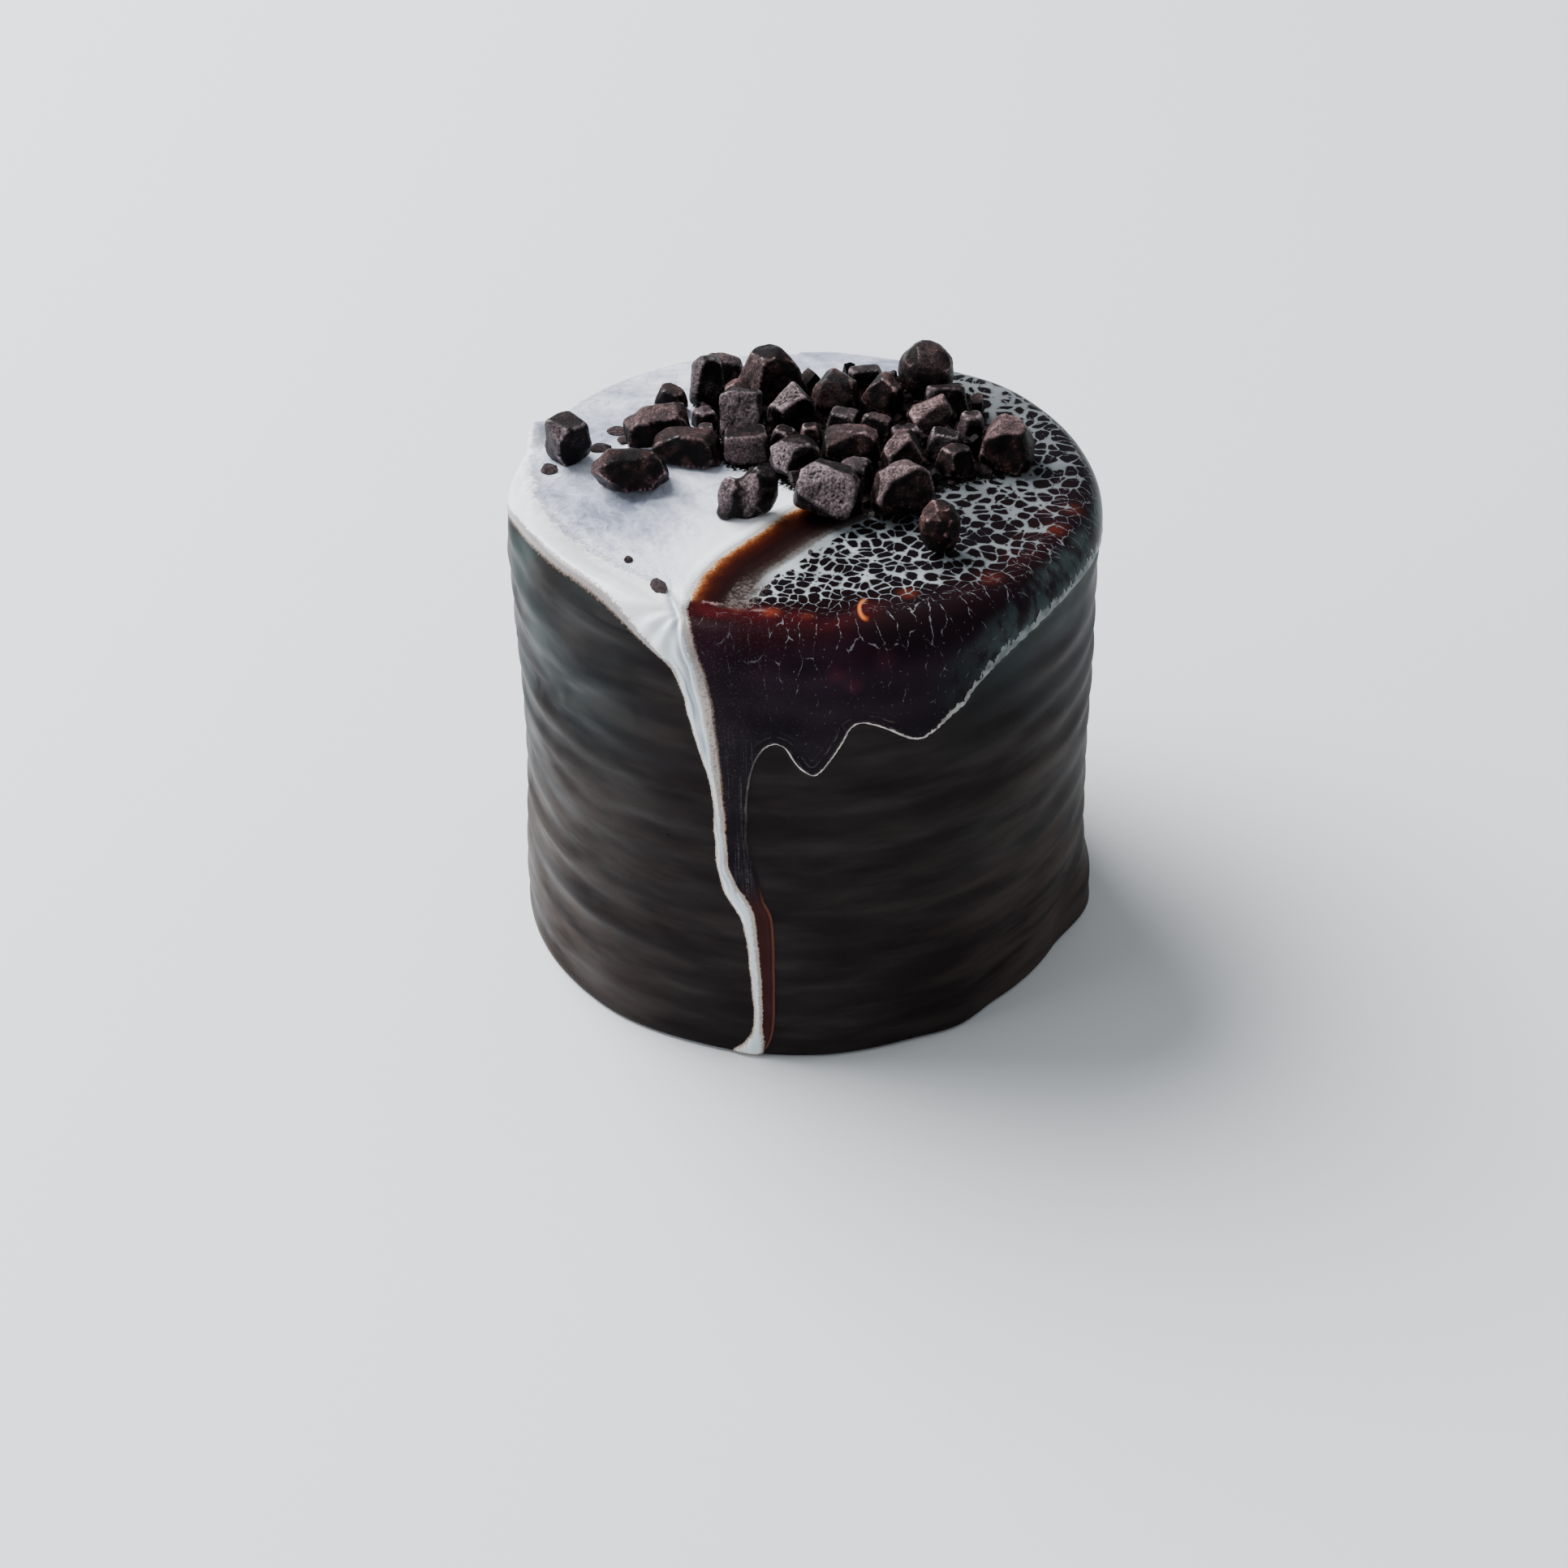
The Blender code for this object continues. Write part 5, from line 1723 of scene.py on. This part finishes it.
def roughen(piece, node, dice):
    """Lumps all over and pits, most on the fresh break that faces the light, and numbers for the
    material to read.
    """
    mesh = piece.data
    points = read_points(mesh) / MM
    normals = read_normals(mesh)
    offset = np.array([dice.uniform(-50, 50) for _ in range(3)])
    # A piece that is not listed gets a face by chance, turned up and to the left, where the light
    # falls.
    by_chance = (dice.uniform(70, 190), dice.uniform(30, 65), dice.uniform(0.15, 0.55))
    clock, lean, paleness = BROKEN_AND_LIT_FACES.get(node, by_chance)
    facing = normals @ np.array(seen_direction(clock, lean))
    # This marks the break that faces the light: it pits and roughens the face, and its paler colour
    # is painted light.
    broken_and_lit = paleness * ease((facing - BROKEN_AND_LIT_START) / BROKEN_AND_LIT_RUN)
    stretch = dice.choice(PIT_STRETCHES)
    lumps = noise_at(points + offset, 1.0 / LUMP_SIZE)
    pits = noise_at(points + offset, 1.0 / PIT_SIZE, stretch)
    pits = pits + 0.6 * noise_at(points - offset, 2.1 / PIT_SIZE, stretch)
    knobs = noise_at(points - 2.0 * offset, 1.0 / KNOB_SIZE, stretch)
    depth = LUMP_HEIGHT * lumps + KNOB_HEIGHT * knobs
    pitted = PITS_EVERYWHERE + (1.0 - PITS_EVERYWHERE) * broken_and_lit
    depth = depth + PIT_DEPTH * np.minimum(pits, PIT_LIMIT) * pitted
    if node.startswith("chunk") or node == "twin_nugget":
        depth = depth + SWELL
    points = points + normals * depth[:, None]
    if node == "twin_nugget":
        settle_small_lobe(points)
    seat(points, node)
    write_points(mesh, points * MM)
    store(mesh, "broken_and_lit", broken_and_lit)
    store(mesh, "convexity", edge_convexity(mesh))
    store(mesh, "redness", np.full(len(points), REDNESS.get(node, dice.uniform(0.0, 0.7))))


def make_topping(node, material):
    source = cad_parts[node]
    dice = random.Random(node)
    piece = bpy.data.objects.new("choc_" + node, source.data.copy())
    bpy.context.scene.collection.objects.link(piece)
    even_mesh(piece, node, dice)
    roughen(piece, node, dice)
    piece.data.materials.clear()
    piece.data.materials.append(material)
    bpy.ops.object.shade_smooth()
    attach(piece, "root")
    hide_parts(node)
    return len(piece.data.polygons)


# %% Chocolate material
CHOCOLATE_DARK = (0.0040, 0.0030, 0.0034)
CHOCOLATE_BROWN = (0.0110, 0.0068, 0.0074)
CHOCOLATE_RED = (0.0320, 0.0105, 0.0096)
CHOCOLATE_PALE = (0.400, 0.315, 0.338)
CHOCOLATE_PALE_RED = (0.420, 0.235, 0.225)
SPECKLE_SCALE = 3800.0
CHOCOLATE_SPECULAR = 0.06
CHOCOLATE_COAT_ROUGHNESS = 0.22
CHOCOLATE_BUMP_DISTANCE = 0.10 * MM
CHOCOLATE_BUMP_STRENGTH = 0.9
EDGE_HIGHLIGHT_SHARE = 0.68
SPECK_GLINT_SHARE = 0.13


def make_chocolate_material():
    material = bpy.data.materials.new("broken_chocolate")
    material.use_nodes = True
    tree = material.node_tree
    shader = tree.nodes["Principled BSDF"]
    grain, mottle = add_grain(tree, 1.0)
    broken_and_lit = field(tree, "broken_and_lit")
    convexity = field(tree, "convexity")
    redness = field(tree, "redness")
    brown = blend_color(tree, redness, CHOCOLATE_BROWN, CHOCOLATE_RED)
    color = blend_color(tree, step_between(tree, mottle, 0.42, 0.72), CHOCOLATE_DARK, brown)
    pale_tone = blend_color(tree, redness, CHOCOLATE_PALE, CHOCOLATE_PALE_RED)
    speckle = noise_value(tree, object_place(tree), SPECKLE_SCALE, 4.0, 0.68)
    speckle = blend_value(tree, step_between(tree, speckle, 0.36, 0.66), 0.20, 1.0)
    patches = blend_value(tree, step_between(tree, mottle, 0.36, 0.62), 0.42, 1.0)
    speckle = times(tree, speckle, patches)
    # The pale colour fades out in hollows: painted shade, broken up by the speckle.
    speckle_out_of_hollows = times(tree, step_between(tree, convexity, 0.22, 0.66), speckle)
    # Pale on the break that faces the light: painted light.
    pale = times(tree, broken_and_lit, speckle_out_of_hollows)
    # Pale on sharp edges: painted highlights along the edges.
    edge_highlight = step_between(tree, convexity, 0.64, 0.92)
    edge_highlight = times(tree, edge_highlight, step_between(tree, mottle, 0.34, 0.58), EDGE_HIGHLIGHT_SHARE)
    # Pale specks on every face: painted glints.
    speck_glints = step_between(tree, speckle, 0.45, 0.95)
    speck_glints = times(tree, speck_glints, step_between(tree, mottle, 0.50, 0.64), SPECK_GLINT_SHARE)
    light = calc(tree, "MAXIMUM", pale, calc(tree, "MAXIMUM", edge_highlight, speck_glints))
    color = blend_color(tree, light, color, pale_tone)
    tree.links.new(color, shader.inputs["Base Color"])
    tree.links.new(blend_value(tree, broken_and_lit, 0.36, 0.62), shader.inputs["Roughness"])
    shader.inputs["Specular IOR Level"].default_value = CHOCOLATE_SPECULAR
    glints = step_between(tree, convexity, 0.62, 0.92)
    glints = times(tree, glints, step_between(tree, grain, 0.45, 0.65))
    tree.links.new(glints, shader.inputs["Coat Weight"])
    shader.inputs["Coat Roughness"].default_value = CHOCOLATE_COAT_ROUGHNESS
    fine_relief = calc(tree, "ADD", grain, speckle)
    add_bump(tree, shader, fine_relief, CHOCOLATE_BUMP_DISTANCE, CHOCOLATE_BUMP_STRENGTH)
    return material


chocolate_material = make_chocolate_material()
topping_faces = sum(make_topping(node, chocolate_material) for node in TOPPING_NODES)
print("faces on the chocolate:", topping_faces)

# %% [markdown]
# Crumbs and flakes. Chopping leaves crumbs. They lie thick between the pieces of the heap,
# and a few thin flakes stick to the white glaze on the left.
#
# Particles would be quick to set up, but they aren't real meshes. Here a few crumbs are cut
# out of cubes, and copies of them are turned, sized and laid down one after another: each
# rests on the glaze or on the crumbs under it. All of them are joined into one piece.

# %% A few crumbs cut out of cubes
CRUMB_KINDS = 6
FLAKE_KINDS = 2
CRUMB_CUTS = 8
FLAKE_CUTS = 5
CUT_SHARES = (0.66, 0.84)
crumb_dice = random.Random(11)


def random_direction(dice):
    return seen_direction(dice.uniform(-180, 180), math.degrees(math.asin(dice.uniform(-1, 1))))


def cut_crumb(rounded):
    """A crumb about 1 across, as its points and its faces; a rounded one starts as a ball."""
    deselect_all()
    if rounded:
        bpy.ops.mesh.primitive_ico_sphere_add(subdivisions=2, radius=0.5)
    else:
        bpy.ops.mesh.primitive_cube_add(size=1.0)
    lump = bpy.context.object
    for _ in range(FLAKE_CUTS if rounded else CRUMB_CUTS):
        chop(lump, random_direction(crumb_dice), crumb_dice.uniform(*CUT_SHARES))
    points = read_points(lump.data)
    faces = [tuple(face.vertices) for face in lump.data.polygons]
    bpy.data.objects.remove(lump, do_unlink=True)
    return points, faces


crumb_kinds = [cut_crumb(False) for _ in range(CRUMB_KINDS)]
crumb_kinds += [cut_crumb(True) for _ in range(FLAKE_KINDS)]
print("faces of each crumb:", [len(faces) for _, faces in crumb_kinds])

# %% Laying the crumbs down
HEAP_CRUMBS = 380
HEAP_CRUMB_SIZES = (0.5, 1.8)
STRAY_CRUMBS = 14
STRAY_CRUMB_SIZES = (0.25, 0.5)
HEAP_SPAN_X = (-14.0, 28.0)
HEAP_SPAN_Y = (-9.0, 26.0)
TRIES_PER_CRUMB = 30
CRUMB_SINK = 0.30
CRUMB_TOUCH = 0.42
CRUMB_STEP = 0.22
CRUMB_CLEARANCE = 0.36
CRUMB_STRETCH = (0.75, 1.1)
FLAKE_SINK = 0.20
PILE_LIMIT = 62.4
ABOVE_ALL = 90.0
FLAKES = (
    (-30.1, 2.7, 2.3, 2.4, 0.9, 20), (-22.4, 11.6, 2.8, 2.0, 0.9, -10),
    (-21.2, 9.2, 2.4, 1.9, 0.8, 15), (-24.3, 7.6, 2.9, 1.9, 0.9, 5),
    (-19.8, -17.6, 1.1, 1.3, 0.7, 0), (-16.2, -23.3, 1.9, 3.6, 0.8, 12),
)
skin_tree = BVHTree.FromPolygons(
    [vertex.co / MM for vertex in skin.data.vertices],
    [tuple(face.vertices) for face in skin.data.polygons if len(face.vertices) <= 4],
)
laid = []
crumb_points = []
crumb_faces = []


def ground_height(x, y):
    hit = skin_tree.ray_cast(Vector((x, y, ABOVE_ALL)), Vector((0.0, 0.0, -1.0)))
    return hit[0].z if hit[0] else HEIGHT_MM


def in_heap(x, y):
    """True if a place on the top lies within the outline of the heap."""
    inside = False
    corners = HEAP_OUTLINE
    for (x0, y0), (x1, y1) in zip(corners, corners[1:] + corners[:1]):
        if (y0 > y) != (y1 > y) and x < x0 + (y - y0) / (y1 - y0) * (x1 - x0):
            inside = not inside
    return inside


def lay_crumb(x, y, z, scales, turn, kind):
    """Add one crumb to the joined mesh, its middle at the given place."""
    points, faces = crumb_kinds[kind]
    first = len(crumb_points)
    for point in points:
        sized = Vector((point[0] * scales[0], point[1] * scales[1], point[2] * scales[2]))
        crumb_points.append(turn @ sized + Vector((x, y, z)))
    crumb_faces.extend(tuple(first + index for index in face) for face in faces)


def drop_crumb(x, y, size):
    """Lay a crumb on the glaze or on the crumbs under it, if it is clear of the pieces."""
    ground = ground_height(x, y)
    for other_x, other_y, other_z, other_size in laid:
        if math.hypot(other_x - x, other_y - y) < CRUMB_TOUCH * (size + other_size):
            ground = max(ground, other_z + CRUMB_STEP * other_size)
    z = ground + CRUMB_SINK * size
    found = topping_tree.find_nearest(Vector((x, y, z)))
    inside_piece = (Vector((x, y, z)) - found[0]).dot(found[1]) < 0.0
    if ground > PILE_LIMIT or inside_piece or found[3] < CRUMB_CLEARANCE * size:
        return False
    laid.append((x, y, z, size))
    turn = random_direction(crumb_dice).to_track_quat("Z", "Y").to_matrix()
    scales = [size * crumb_dice.uniform(*CRUMB_STRETCH) for _ in range(3)]
    lay_crumb(x, y, z, scales, turn, crumb_dice.randrange(CRUMB_KINDS))
    return True


tries = 0
smallest, largest = HEAP_CRUMB_SIZES
while len(laid) < HEAP_CRUMBS and tries < TRIES_PER_CRUMB * HEAP_CRUMBS:
    tries += 1
    x = crumb_dice.uniform(*HEAP_SPAN_X)
    y = crumb_dice.uniform(*HEAP_SPAN_Y)
    size = smallest + (largest - smallest) * crumb_dice.random() ** 2
    if in_heap(x, y):
        drop_crumb(x, y, size)
print("crumbs in the heap:", len(laid), "after", tries, "tries")

# %% Stray crumbs and flakes, and the joined piece
STRAY_X = (0.0, 9.0)
STRAY_Y = (8.0, 8.0)
RIM_MARGIN = 2.0
CRUMB_EDGE_ANGLE = math.radians(28.0)

for _ in range(STRAY_CRUMBS):
    x = crumb_dice.gauss(*STRAY_X)
    y = crumb_dice.gauss(*STRAY_Y)
    if math.hypot(x, y) < FLAT_RADIUS - RIM_MARGIN:
        drop_crumb(x, y, crumb_dice.uniform(*STRAY_CRUMB_SIZES))
for x, y, length, width, thickness, turn_degrees in FLAKES:
    turn = Matrix.Rotation(math.radians(turn_degrees), 3, "Z")
    z = ground_height(x, y) + FLAKE_SINK * thickness
    kind = CRUMB_KINDS + crumb_dice.randrange(FLAKE_KINDS)
    lay_crumb(x, y, z, (length, width, thickness), turn, kind)

crumb_mesh = bpy.data.meshes.new("chocolate_crumbs")
crumb_mesh.from_pydata([point * MM for point in crumb_points], [], crumb_faces)
crumbs = bpy.data.objects.new("chocolate_crumbs", crumb_mesh)
bpy.context.scene.collection.objects.link(crumbs)
# Crumbs in the heap are painted darker than those out on the white glaze: painted shade between the
# pieces.
on_white = np.array([float(not in_heap(point[0], point[1])) for point in crumb_points])
store(crumb_mesh, "broken_and_lit", 0.05 + 0.25 * on_white)
store(crumb_mesh, "convexity", np.full(len(crumb_points), 0.5))
store(crumb_mesh, "redness", np.full(len(crumb_points), 0.3))
crumb_mesh.materials.append(chocolate_material)
deselect_all()
crumbs.select_set(True)
bpy.context.view_layer.objects.active = crumbs
bpy.ops.object.shade_smooth_by_angle(angle=CRUMB_EDGE_ANGLE)
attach(crumbs, "root")
print("crumb triangles:", sum(len(face) - 2 for face in crumb_faces))
